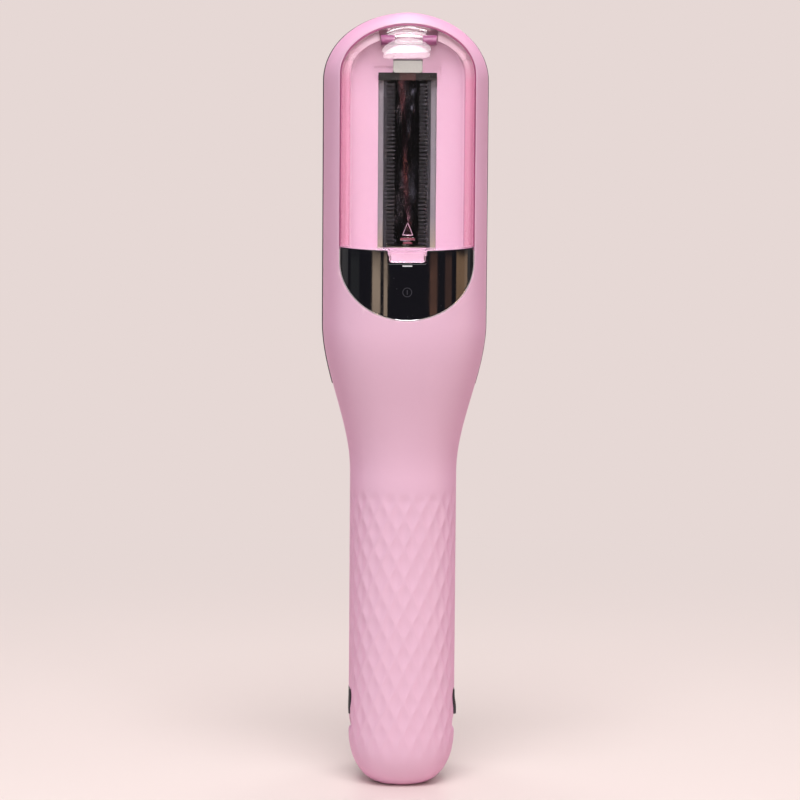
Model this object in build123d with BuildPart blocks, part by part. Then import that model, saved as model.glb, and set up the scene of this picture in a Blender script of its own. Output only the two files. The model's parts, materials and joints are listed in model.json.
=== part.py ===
# Hand-held split end hair trimmer: a squeeze clamp behind a head with a helical cutter drum.
# Frame: X across the face, -Y to the front, +Z up the handle. Origin in the middle of the flat base,
# on the plane through the clamp's closing faces. Sizes are in millimetres.
from build123d import *
from math import cos, pi, radians, sin, sqrt, tan
import os

os.makedirs("parts", exist_ok=True)

# Outer shape.
head_half_width = 26.4
handle_half_width = 17.3
head_depth = 27.0        # front face of the head, in front of the closing plane
handle_depth = 18.5      # front face of the handle, in front of the closing plane
crown_depth = 14.0       # front face at the very top of the dome
neck_bottom = 102.5      # the handle begins to widen here
neck_top = 151.0         # the head has its full width here
dome_height = 21.7
dome_early = 2.8         # the dome starts this far under the slot's upper end
head_fullness = 0.76     # how square the section is: 0.55 is an ellipse
handle_fullness = 0.62
base_round = 16.0
base_side = 10.5
base_front = 8.0
base_steps = (90, 74, 58, 42, 26, 10)   # stations round the base, in degrees
wall = 2.2
parting_y = -2.4         # back of the front housing
fit = 0.05               # between pieces of one body that sit in each other
running_gap = 0.3        # between pieces that move past each other

# Handle back.
handle_back = 4.5        # rear face of the handle, behind the closing plane
back_slope_low = 108.0   # the handle back slopes in from here
back_top = 130.8         # the rear housing ends here, under the comb plate
back_top_y = -0.6

# Comb plate and clamp.
comb_plate_thickness = 2.0
comb_plate_proud = 0.3
groove_pitch = 2.4       # cross grooves beside the slot, on the jaw's face
groove_height = 0.9
groove_length = 7.0
groove_depth = 0.6
clamp_gap = 0.7          # air between the comb plate and the clamp plate
clamp_plate_thickness = 2.0
clamp_pocket_half_width = 9.0
clamp_pocket_depth = 1.0
grip_pad_span = (14.0, 19.0)
grip_pad_seat = 0.7
arm_head_depth = 12.5
arm_handle_depth = 9.5
arm_margin = 0.4         # the arm is this much narrower than the front
arm_wall = 2.0
arm_foot = 3.0           # lower end of the arm at rest
clamp_angle = 8.0
squeezed_gap = 0.4       # left between the arm and the handle when squeezed
arm_bend_low = 104.0
arm_bend_top = 134.0
hinge_y = 7.0
hinge_z = 126.0
hinge_pin_radius = 1.5
lug_radius = 3.3
body_lug = (5.0, 9.1)
arm_lug_length = 3.0
arm_lug_radius = 3.2
spring_seat_radius = 4.2
spring_seat_depth = 5.5  # behind the arm's open side

# Window for the cover and the power button.
window_side = 4.85       # pink border left and right of the window
window_spring_drop = 0.6 # the window's arch starts this far under the slot's upper end
window_rise = 15.9
window_low = 171.8       # the half ellipse at the bottom starts here
window_drop = 18.5
collar = 1.4
collar_depth = 3.0       # the collar starts this far behind the front face
cover_seam = 0.45
cover_wall = 1.9
cover_rim = 3.5
cover_bottom = 176.0     # at the middle; the edge rises towards the sides
cover_edge_rise = 0.75
tab_half_width = 5.75
tab_length = 4.1
tab_thickness = 1.3
floor_thickness = 1.6
step_half_width = 10.5   # shallow step in the floor round the cutter's upper end
step_depth = 0.5
step_rise = 1.9
cover_hinge_depth = 4.2  # pin behind the front face
cover_hinge_drop = 5.3   # pin under the window's top
cover_pin_radius = 0.8
cover_lug_radius = 1.5
cover_lug_room = 1.8
hinge_room_half_width = 10.4
cover_lug_half_width = 4.1
ear_width = 4.2

# Power button.
rim_width = 0.4
button_gap = 0.35
button_thickness = 1.6
post_length = 1.6
post_radius = 2.0
switch_half_width = 3.0
switch_cap_radius = 1.6
switch_cap_height = 0.8
board_half_width = 12.0
board_low = 158.5
control_board_thickness = 1.6
pad_side = 15.0
pad_size = 4.0
pad_z = 166.5
press_gap = 0.8          # from the button's post to the switch
switch_z = 162.5
lens_z = 170.8
lens_width = 3.1
lens_height = 0.7

# Cutter.
slot_half_width = 9.25
drum_end_gap = 1.0
drum_radius = 4.2
drum_core_radius = 3.1
drum_length = 53.7
blade_count = 4
blade_turn = 150.0       # how far each blade winds over the drum's length, in degrees
blade_width = 1.1
shaft_radius = 1.2
bush_half_width = 4.6
bush_height = 4.2
bush_back = 3.0          # behind the cutter's axis
lower_bush_radius = 3.0
frame_half_width = 11.5
frame_below_slot = 5.5
frame_above_bush = 1.2
top_bar_height = 2.4     # dark bar across the slot's upper end
comb_reach = 3.9
comb_root = 7.5
comb_pitch = 1.23
comb_tooth = 0.62
comb_thickness = 0.8
comb_spine = 1.1
comb_gap = 0.7           # from the combs to the blades
comb_sink = 2.8          # combs behind the chamber floor
motor_gap = 0.9          # from the motor to the comb plate
plate_slot_half_width = 6.6

# Drive.
motor_radius = 6.0
motor_length = 24.0
motor_bottom = 128.0
motor_shaft_radius = 0.75
motor_shaft_length = 9.0
coupling_radius = 3.4
coupling_length = 12.0
coupling_lift = 3.2      # above the motor
bracket_thickness = 2.0
motor_screw_side = 4.0
motor_screw_radius = 0.75
motor_screw_head_radius = 1.4
motor_screw_head_height = 0.9

# Handle contents.
battery_radius = 7.0
battery_length = 50.0
battery_bottom = 46.0
battery_y = -6.0
contact_thickness = 0.8
contact_half_width = 4.0
cradle_width = 17.6
cradle_front = -16.8
cradle_back = -6.0
cradle_end = 2.0
socket_width = 8.94
socket_depth = 3.2
socket_length = 7.3
socket_y = -5.5
socket_low = 0.4
socket_shell = 0.35
socket_board = (7.6, 3.6, 15.0)   # half width, low and high
socket_post = (6.4, 8.4)
board_thickness = 1.2
screw_radius = 1.0
screw_head_radius = 1.9
screw_head_height = 1.2
boss_radius = 2.6
boss_web = 1.0           # half thickness of the ribs beside the bosses
plate_boss_front = -12.5
rear_boss_front = -11.5
screw_tip_room = 1.0
rear_screw_side = 6.2    # from the handle's side to the screws
rear_screw_heights = (39.0, 104.0)
plate_screw_side = 6.2
plate_screw_low = 8.0    # above the neck
plate_screw_drop = 9.0   # under the dome

# Handle lock.
lock_top = 30.8
lock_height = 8.4
lock_travel = 4.8
lock_front = -5.9
lock_back = 1.9
lock_proud = 0.55
lock_bar_height = 4.0
lock_bar_front = -1.9
lock_bar_thickness = 2.0
hook_half_width = 4.0
hook_height = 8.0
hook_room = (14.5, 28.5)

# Return spring.
spring_z = 106.0
spring_radius = 3.0
spring_wire = 0.8
spring_turns = 5

# Places that follow from the sizes above.
comb_plate_front = parting_y
comb_plate_back = parting_y + comb_plate_thickness
clamp_plate_front = comb_plate_back + clamp_gap
arm_face = clamp_plate_front + clamp_plate_thickness
motor_top = motor_bottom + motor_length
slot_bottom = cover_bottom
drum_bottom = slot_bottom + drum_end_gap
drum_top = drum_bottom + drum_length
slot_top = drum_top + drum_end_gap - 0.1
spring_height = slot_top - dome_early        # the dome starts here
window_spring = slot_top - window_spring_drop
window_half_width = head_half_width - window_side
cover_hinge_y = -head_depth + cover_hinge_depth
cover_hinge_z = window_spring + window_rise - cover_hinge_drop
cutter_y = parting_y - motor_gap - motor_radius
comb_back = cutter_y - drum_radius - comb_gap
floor_y = comb_back - comb_sink              # floor of the hair chamber
collar_back = floor_y + floor_thickness
switch_front = -head_depth + button_thickness + post_length + press_gap
rear_screws = [(handle_half_width - rear_screw_side, z) for z in rear_screw_heights]
plate_screws = [(head_half_width - plate_screw_side, z)
                for z in (neck_top + plate_screw_low, spring_height - plate_screw_drop)]


def rise(z):
    t = min(max((z - neck_bottom) / (neck_top - neck_bottom), 0), 1)
    return t * t * (3 - 2 * t)


def front_sizes(z, inset):
    """Half width and front depth of the body's section at a height."""
    s = rise(z)
    w = handle_half_width + (head_half_width - handle_half_width) * s - inset
    d = handle_depth + (head_depth - handle_depth) * s - inset
    if z < base_round:
        r = 1 - sqrt(max(0, 1 - ((base_round - z) / (base_round - inset)) ** 2))
        w -= base_side * r
        d -= base_front * r
    if z > spring_height:
        c = sqrt(max(0, 1 - ((z - spring_height) / (dome_height - inset)) ** 2))
        w *= c
        d = (crown_depth - inset) + (d - crown_depth + inset) * c ** 0.36
    return w, d


def dome_heights(inset):
    return [spring_height + (dome_height - inset) * sin(radians(a)) for a in (0, 15, 30, 45, 58, 69, 77, 83)]


def base_heights(inset, low):
    reach = base_round - inset
    return [base_round - reach * sin(radians(a)) for a in low]


def between(low, high, shares):
    return [low + (high - low) * share for share in shares]


def handle_heights():
    return between(base_round + 4, neck_bottom, (0, 0.08, 0.21, 0.37, 0.54, 0.71, 0.87))


def neck_heights():
    return between(neck_bottom, neck_top, (0, 0.125, 0.25, 0.375, 0.5, 0.625, 0.75, 0.875, 1))


def head_heights():
    return between(neck_top, spring_height, (0.09, 0.22, 0.4, 0.62, 0.79, 0.92))


def front_form(inset):
    """The front body's outer form, or the same form with its skin taken off."""
    heights = base_heights(inset, base_steps) + handle_heights() + neck_heights()
    heights += head_heights() + dome_heights(inset)
    with BuildPart() as form:
        for z in heights:
            w, d = front_sizes(z, inset)
            k = handle_fullness + (head_fullness - handle_fullness) * rise(z)
            side = parting_y - k * (d + parting_y)
            with BuildSketch(Plane.XY.offset(z)):
                with BuildLine():
                    Bezier((w, parting_y), (w, side), (k * w, -d), (0, -d))
                    Bezier((0, -d), (-k * w, -d), (-w, side), (-w, parting_y))
                    Line((-w, parting_y), (w, parting_y))
                make_face()
        loft()
    return form.part


def back_depth(z):
    t = min(max((z - back_slope_low) / (back_top - back_slope_low), 0), 1)
    return handle_back + (back_top_y - handle_back) * t * t * (3 - 2 * t)


def rear_form(inset):
    """The handle's back, which closes the front housing and carries the hinge lugs."""
    slope = back_top - back_slope_low
    steps = (1, 2, 3, 4, 5, 6) if inset == 0 else (1, 2, 3, 4)
    open_side = parting_y - (0.5 if inset else 0)
    heights = base_heights(inset, base_steps)
    heights += between(base_round + 4, back_slope_low, (0, 0.08, 0.23, 0.42, 0.61, 0.81, 0.91, 1))
    heights += [back_slope_low + slope * i / 6 for i in steps]
    with BuildPart() as form:
        for z in heights:
            w = front_sizes(z, inset)[0]
            d = back_depth(z) - inset
            side = parting_y + 0.8 * (d - parting_y)
            with BuildSketch(Plane.XY.offset(z)):
                with BuildLine():
                    Bezier((w, open_side), (w, side), (0.86 * w, d), (0, d))
                    Bezier((0, d), (-0.86 * w, d), (-w, side), (-w, open_side))
                    Line((-w, open_side), (w, open_side))
                make_face()
        loft()
    return form.part


def arm_line_y(z):
    """The arm's open side beside the handle, which comes to rest against it when squeezed."""
    closed = handle_back + squeezed_gap - hinge_y
    return hinge_y + closed / cos(radians(clamp_angle)) + (hinge_z - z) * tan(radians(clamp_angle))


def arm_face_y(z):
    """Where the arm's open side lies: flat behind the head, splayed away from the handle."""
    if z <= arm_bend_low:
        return arm_line_y(z)
    if z >= arm_bend_top:
        return arm_face
    span = arm_bend_top - arm_bend_low
    t = (z - arm_bend_low) / span
    rest = (2 * t ** 3 - 3 * t ** 2 + 1) * arm_line_y(arm_bend_low) + (3 * t ** 2 - 2 * t ** 3) * arm_face
    return rest - (t ** 3 - 2 * t ** 2 + t) * span * tan(radians(clamp_angle))


def arm_form(inset):
    """The clamp arm's outer form, or the same form with its skin taken off."""
    reach = base_round - inset
    foot = arm_foot + base_round
    heights = [foot - reach * sin(radians(a)) for a in (86, 72, 57, 42, 26, 10)]
    heights += between(foot + 4, arm_bend_low, (0, 0.09, 0.25, 0.45, 0.66, 0.86, 1))
    heights += [arm_bend_low + (arm_bend_top - arm_bend_low) * i / 6 for i in range(1, 7)]
    heights += between(arm_bend_top, neck_top, (0.5, 1)) + head_heights() + dome_heights(inset)
    with BuildPart() as form:
        for z in heights:
            w = front_sizes(max(z, base_round), inset)[0] - arm_margin
            d = arm_handle_depth + (arm_head_depth - arm_handle_depth) * rise(z) - inset
            if z < foot:
                r = 1 - sqrt(max(0, 1 - ((foot - z) / reach) ** 2))
                w -= base_side * r
                d -= 0.6 * arm_handle_depth * r
            if z > spring_height:
                c = sqrt(max(0, 1 - ((z - spring_height) / (dome_height - inset)) ** 2))
                d = d * (0.45 + 0.55 * c ** 0.5)
            y = arm_face_y(z)
            opening = y - (1.0 if inset > 0 else 0)
            with BuildSketch(Plane.XY.offset(z)):
                with BuildLine():
                    Bezier((w, opening), (w, y + 0.72 * d), (0.72 * w, y + d), (0, y + d))
                    Bezier((0, y + d), (-0.72 * w, y + d), (-w, y + 0.72 * d), (-w, opening))
                    Line((-w, opening), (w, opening))
                make_face()
        loft()
    return form.part


def window_form(margin, front, back):
    """The capsule outline that the cover and the power button share, as a prism along Y."""
    a = window_half_width + margin
    with BuildPart() as form:
        with BuildSketch(Plane.XZ.offset(-back)):
            with BuildLine():
                EllipticalCenterArc((0, window_spring), a, window_rise + margin, start_angle=0, arc_size=180)
                Line((-a, window_spring), (-a, window_low))
                EllipticalCenterArc((0, window_low), a, window_drop + margin, start_angle=180, arc_size=180)
                Line((a, window_low), (a, window_spring))
            make_face()
        extrude(amount=back - front)
    return form.part


def block(x, y, z, mode=Mode.ADD):
    """A box between three spans."""
    with Locations(((x[0] + x[1]) / 2, (y[0] + y[1]) / 2, (z[0] + z[1]) / 2)):
        Box(x[1] - x[0], y[1] - y[0], z[1] - z[0], mode=mode)


def rod_x(radius, x, y, z, mode=Mode.ADD):
    with Locations(Location(((x[0] + x[1]) / 2, y, z), (0, 90, 0))):
        Cylinder(radius, x[1] - x[0], mode=mode)


def rod_y(radius, x, y, z, mode=Mode.ADD):
    with Locations(Location((x, (y[0] + y[1]) / 2, z), (90, 0, 0))):
        Cylinder(radius, y[1] - y[0], mode=mode)


def rod_z(radius, x, y, z, mode=Mode.ADD):
    with Locations((x, y, (z[0] + z[1]) / 2)):
        Cylinder(radius, z[1] - z[0], mode=mode)


outer = front_form(0)
inner = front_form(wall)
near_inner = front_form(wall + fit)
under_skin = front_form(1.0)
window_cut = window_form(0, -head_depth - 13, collar_back)
lock_bottom = lock_top - lock_height
pad_inner_x = handle_half_width + lock_proud - 1.4
recess_x = pad_inner_x - running_gap
lock_bar_bottom = lock_top - 0.4 - lock_bar_height
collar_front = -head_depth + collar_depth

# Front housing: the moulded shell with the window, its collar and the screw bosses.
with BuildPart() as bosses:
    for side in (1, -1):
        for x, z in plate_screws:
            rod_y(boss_radius, side * x, (plate_boss_front, parting_y), z)
            web = sorted((side * x, side * head_half_width))
            block(web, (plate_boss_front, parting_y), (z - boss_web, z + boss_web))
        for x, z in rear_screws:
            rod_y(boss_radius, side * x, (rear_boss_front, parting_y), z)
            web = sorted((side * x, side * handle_half_width))
            block(web, (rear_boss_front, parting_y), (z - boss_web, z + boss_web))
        post = sorted((side * socket_post[0], side * socket_post[1]))
        block(post, (-handle_depth, socket_y + socket_depth / 2), (5, 13))
inside_ribs = (bosses.part + window_form(collar, collar_front, collar_back)) & under_skin
with BuildPart() as front_housing:
    add(outer)
    add(inner, mode=Mode.SUBTRACT)
    add(inside_ribs)
    add(window_cut, mode=Mode.SUBTRACT)
    for side in (1, -1):
        for x, z in plate_screws:
            rod_y(screw_radius, side * x, (plate_boss_front + screw_tip_room, parting_y), z, mode=Mode.SUBTRACT)
        for x, z in rear_screws:
            rod_y(screw_radius, side * x, (rear_boss_front + screw_tip_room, parting_y), z, mode=Mode.SUBTRACT)
        recess = sorted((side * recess_x, side * 20))
        low = lock_bottom - lock_travel - running_gap
        block(recess, (lock_front - running_gap, 5), (low, lock_top + running_gap), mode=Mode.SUBTRACT)
        slot = sorted((side * 11, side * 20))
        low = lock_bar_bottom - lock_travel - running_gap
        high = lock_bar_bottom + lock_bar_height + running_gap
        block(slot, (lock_bar_front - running_gap - 1, 5), (low, high), mode=Mode.SUBTRACT)
    block((-socket_width / 2 - fit, socket_width / 2 + fit),
          (socket_y - socket_depth / 2 - fit, socket_y + socket_depth / 2 + fit), (-1, 4), mode=Mode.SUBTRACT)

# Rear housing: closes the handle, carries the hinge lugs and takes the arm's hook.
rear_inner = rear_form(wall)
with BuildPart() as rear_housing:
    add(rear_form(0))
    add(rear_inner, mode=Mode.SUBTRACT)
    for side in (1, -1):
        for x, z in rear_screws:
            rod_y(boss_radius, side * x, (parting_y, handle_back - wall + 0.4), z)
        lug = sorted((side * body_lug[0], side * body_lug[1]))
        with BuildSketch(Plane.YZ.offset(lug[0])):
            with BuildLine():
                Polyline((parting_y + 1, hinge_z - 8), (parting_y + 1, hinge_z + 4), (-0.9, hinge_z + 4.5),
                         (hinge_y, hinge_z + lug_radius), (hinge_y, hinge_z - lug_radius),
                         (2.0, hinge_z - 8), close=True)
            make_face()
        extrude(amount=lug[1] - lug[0])
        rod_x(lug_radius, lug, hinge_y, hinge_z)
    block((-4, 4), (battery_y + battery_radius, handle_back - wall + 0.3), (59, 61))
    block((-4, 4), (battery_y + battery_radius, handle_back - wall + 0.3), (81, 83))
    rod_x(hinge_pin_radius, (-15, 15), hinge_y, hinge_z, mode=Mode.SUBTRACT)
    for side in (1, -1):
        for x, z in rear_screws:
            rod_y(screw_radius + 0.1, side * x, (-5, 8), z, mode=Mode.SUBTRACT)
            rod_y(screw_head_radius + 0.1, side * x, (handle_back - wall - 0.2, 8), z, mode=Mode.SUBTRACT)
        recess = sorted((side * recess_x, side * 20))
        low = lock_bottom - lock_travel - running_gap
        block(recess, (-5, lock_back + running_gap), (low, lock_top + running_gap), mode=Mode.SUBTRACT)
        slot = sorted((side * 11, side * 20))
        low = lock_bar_bottom - lock_travel - running_gap
        high = lock_bar_bottom + lock_bar_height + running_gap
        back = lock_bar_front + lock_bar_thickness + running_gap
        block(slot, (-5, back), (low, high), mode=Mode.SUBTRACT)
    block((-hook_half_width - 0.8, hook_half_width + 0.8), (-1, 9), hook_room, mode=Mode.SUBTRACT)

# Comb plate: the dark jaw behind the head, with the slot that the drum works in.
with BuildPart() as comb_plate:
    with BuildSketch(Plane.XZ.offset(-comb_plate_back)):
        with BuildLine():
            steps = between(back_top + 0.3, neck_top, (0, 0.27, 0.58, 0.84, 1))
            right = [(front_sizes(z, 0)[0] + comb_plate_proud, z) for z in steps]
            a = head_half_width + comb_plate_proud
            Spline(right)
            Line(right[-1], (a, spring_height))
            EllipticalCenterArc((0, spring_height), a, dome_height, start_angle=0, arc_size=180)
            Line((-a, spring_height), (-right[-1][0], right[-1][1]))
            Spline([(-x, z) for x, z in reversed(right)])
            Line((-right[0][0], right[0][1]), right[0])
        make_face()
    extrude(amount=comb_plate_thickness)
    block((-plate_slot_half_width, plate_slot_half_width), (parting_y - 1, 1), (slot_bottom, slot_top),
          mode=Mode.SUBTRACT)
    for side in (1, -1):
        with Locations([(side * (plate_slot_half_width + 3), comb_plate_back, slot_bottom + 2.2 + groove_pitch * i)
                        for i in range(int((slot_top - slot_bottom - 3) / groove_pitch))]):
            Box(groove_length, 2 * groove_depth, groove_height, mode=Mode.SUBTRACT)
        for x, z in plate_screws:
            rod_y(screw_radius + 0.1, side * x, (-3, 1), z, mode=Mode.SUBTRACT)
            rod_y(screw_head_radius + 0.1, side * x, (comb_plate_back - screw_head_height, 1), z,
                  mode=Mode.SUBTRACT)

# Cutter frame: the dark cartridge that holds the drum and both combs.
frame_bottom = slot_bottom - frame_below_slot
frame_top = slot_top + bush_height + frame_above_bush
with BuildPart() as cutter_frame:
    block((-frame_half_width, frame_half_width), (collar_back, comb_plate_front), (frame_bottom, frame_top))
    block((-slot_half_width, slot_half_width), (-30, comb_back), (slot_bottom, slot_top), mode=Mode.SUBTRACT)
    block((-plate_slot_half_width, plate_slot_half_width), (-30, 1), (slot_bottom, slot_top), mode=Mode.SUBTRACT)
    block((-bush_half_width - fit, bush_half_width + fit), (-30, cutter_y + bush_back),
          (slot_top, slot_top + bush_height), mode=Mode.SUBTRACT)
    block((-slot_half_width, slot_half_width), (floor_y + 0.2, comb_back), (slot_top - top_bar_height, slot_top))
    rod_z(lower_bush_radius, 0, cutter_y, (frame_bottom - 1, slot_bottom + 1), mode=Mode.SUBTRACT)

# Chamber liner: the floor behind the clear cover, with the hinge ears and the button shelf.
with BuildPart() as chamber_liner:
    add(window_form(-fit, floor_y, collar_back))
    block((-slot_half_width, slot_half_width), (-20, -10), (slot_bottom, slot_top), mode=Mode.SUBTRACT)
    block((-bush_half_width - fit, bush_half_width + fit), (-20, -10), (slot_top - 0.1, slot_top + bush_height),
          mode=Mode.SUBTRACT)
    block((-step_half_width, step_half_width), (floor_y - 1, floor_y + step_depth),
          (slot_top - top_bar_height, slot_top + step_rise), mode=Mode.SUBTRACT)
    for side in (1, -1):
        ear = sorted((side * (cover_lug_half_width + running_gap),
                      side * (cover_lug_half_width + running_gap + ear_width)))
        block(ear, (cover_hinge_y, floor_y + 0.1), (cover_hinge_z - cover_lug_radius, cover_hinge_z + cover_lug_radius))
        rod_x(cover_lug_radius, ear, cover_hinge_y, cover_hinge_z)
    rod_x(cover_pin_radius + 0.05, (-12, 12), cover_hinge_y, cover_hinge_z, mode=Mode.SUBTRACT)
liner_shelf = (Pos(0, floor_y + 0.1 - head_depth / 2, cover_bottom - 1.4)
               * Box(2 * (window_half_width - fit), head_depth, 1.5)
               & front_form(3.0) & window_form(-fit, -head_depth - 13, collar_back))
with BuildPart() as chamber_liner_full:
    add(chamber_liner.part)
    add(liner_shelf)
    rest = (cover_bottom - tab_length - 0.1, cover_bottom - 1.2)
    block((-tab_half_width + 0.6, tab_half_width - 0.6), (-head_depth + tab_thickness + 0.8, floor_y + 0.1), rest)
chamber_liner = chamber_liner_full

# Combs: two rows of fine teeth in front of the drum.
tooth_count = int((slot_top - top_bar_height - slot_bottom - 1.5) / comb_pitch)


def comb(side):
    with BuildPart() as made:
        root = sorted((side * (comb_root - comb_spine), side * comb_root))
        block(root, (comb_back - comb_thickness, comb_back), (slot_bottom, slot_top - top_bar_height))
        tooth_length = comb_root - comb_spine + 0.1 - comb_reach
        middle = side * (comb_reach + tooth_length / 2)
        first = slot_bottom + 1.4
        with Locations([(middle, comb_back - comb_thickness / 2, first + comb_pitch * i)
                        for i in range(tooth_count)]):
            Box(tooth_length, comb_thickness, comb_tooth)
    return made


left_comb = comb(-1)
right_comb = comb(1)

# Bushes that carry the drum's shaft.
with BuildPart() as top_bush:
    block((-bush_half_width, bush_half_width), (floor_y - 0.5, cutter_y + bush_back - fit),
          (slot_top, slot_top + bush_height))
    fillet(top_bush.edges().filter_by(Axis.Y), 0.8)
    rod_z(shaft_radius + 0.05, 0, cutter_y, (slot_top - 1, slot_top + bush_height - 0.6), mode=Mode.SUBTRACT)
with BuildPart() as lower_bush:
    rod_z(lower_bush_radius, 0, cutter_y, (frame_bottom, slot_bottom))
    rod_z(shaft_radius + 0.05, 0, cutter_y, (frame_bottom - 1, slot_bottom + 1), mode=Mode.SUBTRACT)

# Cutter drum: a steel core with blades that wind round it.
drum_sections = 9
with BuildPart() as cutter_drum:
    for i in range(drum_sections + 1):
        turn = blade_turn * i / drum_sections
        with BuildSketch(Plane((0, cutter_y, drum_bottom + drum_length * i / drum_sections))):
            with BuildLine():
                points = []
                half = blade_width / 2 / drum_radius
                for blade in range(blade_count):
                    a = radians(turn + 360 * blade / blade_count)
                    gap = 2 * pi / blade_count
                    for radius, angle in ((drum_radius, a - half), (drum_radius, a + half),
                                          (drum_core_radius, a + 0.30 * gap), (drum_core_radius, a + 0.62 * gap)):
                        points.append((radius * cos(angle), radius * sin(angle)))
                Polyline(*points, close=True)
            make_face()
    loft()
    rod_z(shaft_radius, 0, cutter_y, (drum_bottom - 5, drum_top + 5), mode=Mode.SUBTRACT)
shaft_low = motor_top + 0.7 + motor_shaft_length + 0.6
with BuildPart() as drum_shaft:
    rod_z(shaft_radius, 0, cutter_y, (shaft_low, slot_top + bush_height - 0.9))
coupling_low = motor_top + coupling_lift
with BuildPart() as drive_coupling:
    rod_z(coupling_radius, 0, cutter_y, (coupling_low, coupling_low + coupling_length))
    chamfer(drive_coupling.edges().filter_by(GeomType.CIRCLE), 0.6)
    rod_z(motor_shaft_radius, 0, cutter_y, (coupling_low - 1, shaft_low), mode=Mode.SUBTRACT)
    rod_z(shaft_radius, 0, cutter_y, (shaft_low, coupling_low + coupling_length + 1), mode=Mode.SUBTRACT)

# Motor in the neck, held by a plate across the housing.
bracket_low = motor_top
with BuildPart() as motor:
    rod_z(motor_radius, 0, cutter_y, (motor_bottom, motor_top))
    fillet(motor.edges().sort_by(Axis.Z)[0], 1.0)
    rod_z(2.0, 0, cutter_y, (motor_top, motor_top + 1.0))
    rod_z(1.5, 0, cutter_y, (motor_bottom - 1.0, motor_bottom + 0.5))
    rod_z(motor_shaft_radius + 0.05, 0, cutter_y, (motor_top - 6, motor_top + 2), mode=Mode.SUBTRACT)
with BuildPart() as motor_shaft:
    rod_z(motor_shaft_radius, 0, cutter_y, (motor_top - 5.8, shaft_low - 0.6))
bracket_depth = comb_plate_front - collar_back - 0.1
bracket_block = (Pos(0, comb_plate_front - bracket_depth / 2, bracket_low + bracket_thickness / 2)
                 * Box(60, bracket_depth, bracket_thickness) & near_inner)
with BuildPart() as motor_bracket:
    add(bracket_block)
    rod_z(2.1, 0, cutter_y, (bracket_low - 1, bracket_low + 3), mode=Mode.SUBTRACT)
    for x in (motor_screw_side, -motor_screw_side):
        rod_z(motor_screw_radius + 0.1, x, cutter_y, (bracket_low - 1, bracket_low + 3), mode=Mode.SUBTRACT)
with BuildPart() as motor_screws:
    for x in (motor_screw_side, -motor_screw_side):
        bracket_top = bracket_low + bracket_thickness
        rod_z(motor_screw_radius, x, cutter_y, (bracket_low, bracket_top))
        rod_z(motor_screw_head_radius, x, cutter_y, (bracket_top, bracket_top + motor_screw_head_height))

# Battery, its cradle and contacts.
battery_top = battery_bottom + battery_length
with BuildPart() as battery:
    rod_z(battery_radius, 0, battery_y, (battery_bottom, battery_top - 0.8))
    fillet(battery.edges().filter_by(GeomType.CIRCLE), 0.6)
    rod_z(2.5, 0, battery_y, (battery_top - 1, battery_top))
cradle_low = battery_bottom - contact_thickness - cradle_end
cradle_high = battery_top + contact_thickness + cradle_end
cradle_block = (Pos(0, (cradle_front + cradle_back) / 2, (cradle_low + cradle_high) / 2)
                * Box(cradle_width, cradle_back - cradle_front, cradle_high - cradle_low) & near_inner)
with BuildPart() as battery_cradle:
    add(cradle_block)
    rod_z(battery_radius + fit, 0, battery_y, (cradle_low + cradle_end, cradle_high - cradle_end),
          mode=Mode.SUBTRACT)
    block((-contact_half_width - 1, contact_half_width + 1), (-12, 0), (cradle_low + cradle_end, battery_bottom),
          mode=Mode.SUBTRACT)
with BuildPart() as battery_contacts:
    block((-contact_half_width, contact_half_width), (-11, 0), (battery_bottom - contact_thickness, battery_bottom))
    block((-contact_half_width, contact_half_width), (-11, 0), (battery_top, battery_top + contact_thickness))

# Charging socket on its board, mouth down in the base.
board_y = socket_y + socket_depth / 2
with BuildPart() as charging_socket:
    with BuildSketch(Plane.XY.offset(socket_low)):
        with Locations((0, socket_y)):
            RectangleRounded(socket_width, socket_depth, socket_depth / 2 - 0.02)
    extrude(amount=socket_length)
    with BuildSketch(Plane.XY.offset(socket_low)):
        with Locations((0, socket_y)):
            mouth = socket_depth - 2 * socket_shell
            RectangleRounded(socket_width - 2 * socket_shell, mouth, mouth / 2 - 0.02)
    extrude(amount=socket_length - 1.2, mode=Mode.SUBTRACT)
    block((-3.3, 3.3), (socket_y - 0.35, socket_y + 0.35), (1.4, socket_length - 0.5))
with BuildPart() as charging_board:
    half_width, low, high = socket_board
    block((-half_width, half_width), (board_y, board_y + board_thickness), (low, high))

# Control board with the push switch that the power button works.
board_top = cover_bottom - tab_length - 0.8
with BuildPart() as control_board:
    block((-board_half_width, board_half_width), (floor_y - control_board_thickness, floor_y), (board_low, board_top))
with BuildPart() as push_switch:
    block((-switch_half_width, switch_half_width),
          (switch_front + switch_cap_height, floor_y - control_board_thickness),
          (switch_z - switch_half_width, switch_z + switch_half_width))
    rod_y(switch_cap_radius, 0, (switch_front, switch_front + switch_cap_height), switch_z)

# Power button: the glossy half moon under the cover.
button_skin = outer - front_form(button_thickness)
button_top = cover_bottom - 0.4
edge_radius = (window_half_width ** 2 + cover_edge_rise ** 2) / (2 * cover_edge_rise)
cut_above = Location((0, -20, button_top + edge_radius), (90, 0, 0)) * Cylinder(edge_radius, 40)
with BuildPart() as power_button:
    add(button_skin & window_form(-rim_width - button_gap - 0.02, -40, -12))
    add(cut_above, mode=Mode.SUBTRACT)
    block((-tab_half_width - 0.4, tab_half_width + 0.4), (-40, -20), (cover_bottom - tab_length - 0.4, 200),
          mode=Mode.SUBTRACT)
    rod_y(post_radius, 0, (-head_depth + button_thickness - 0.3, switch_front - press_gap), switch_z)
    block((-lens_width / 2, lens_width / 2), (-40, -20), (lens_z - lens_height / 2, lens_z + lens_height / 2),
          mode=Mode.SUBTRACT)
lens_block = Pos(0, -head_depth, lens_z) * Box(lens_width - 0.02, 8, lens_height - 0.02)
with BuildPart() as indicator_lens:
    add(lens_block & button_skin)
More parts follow.
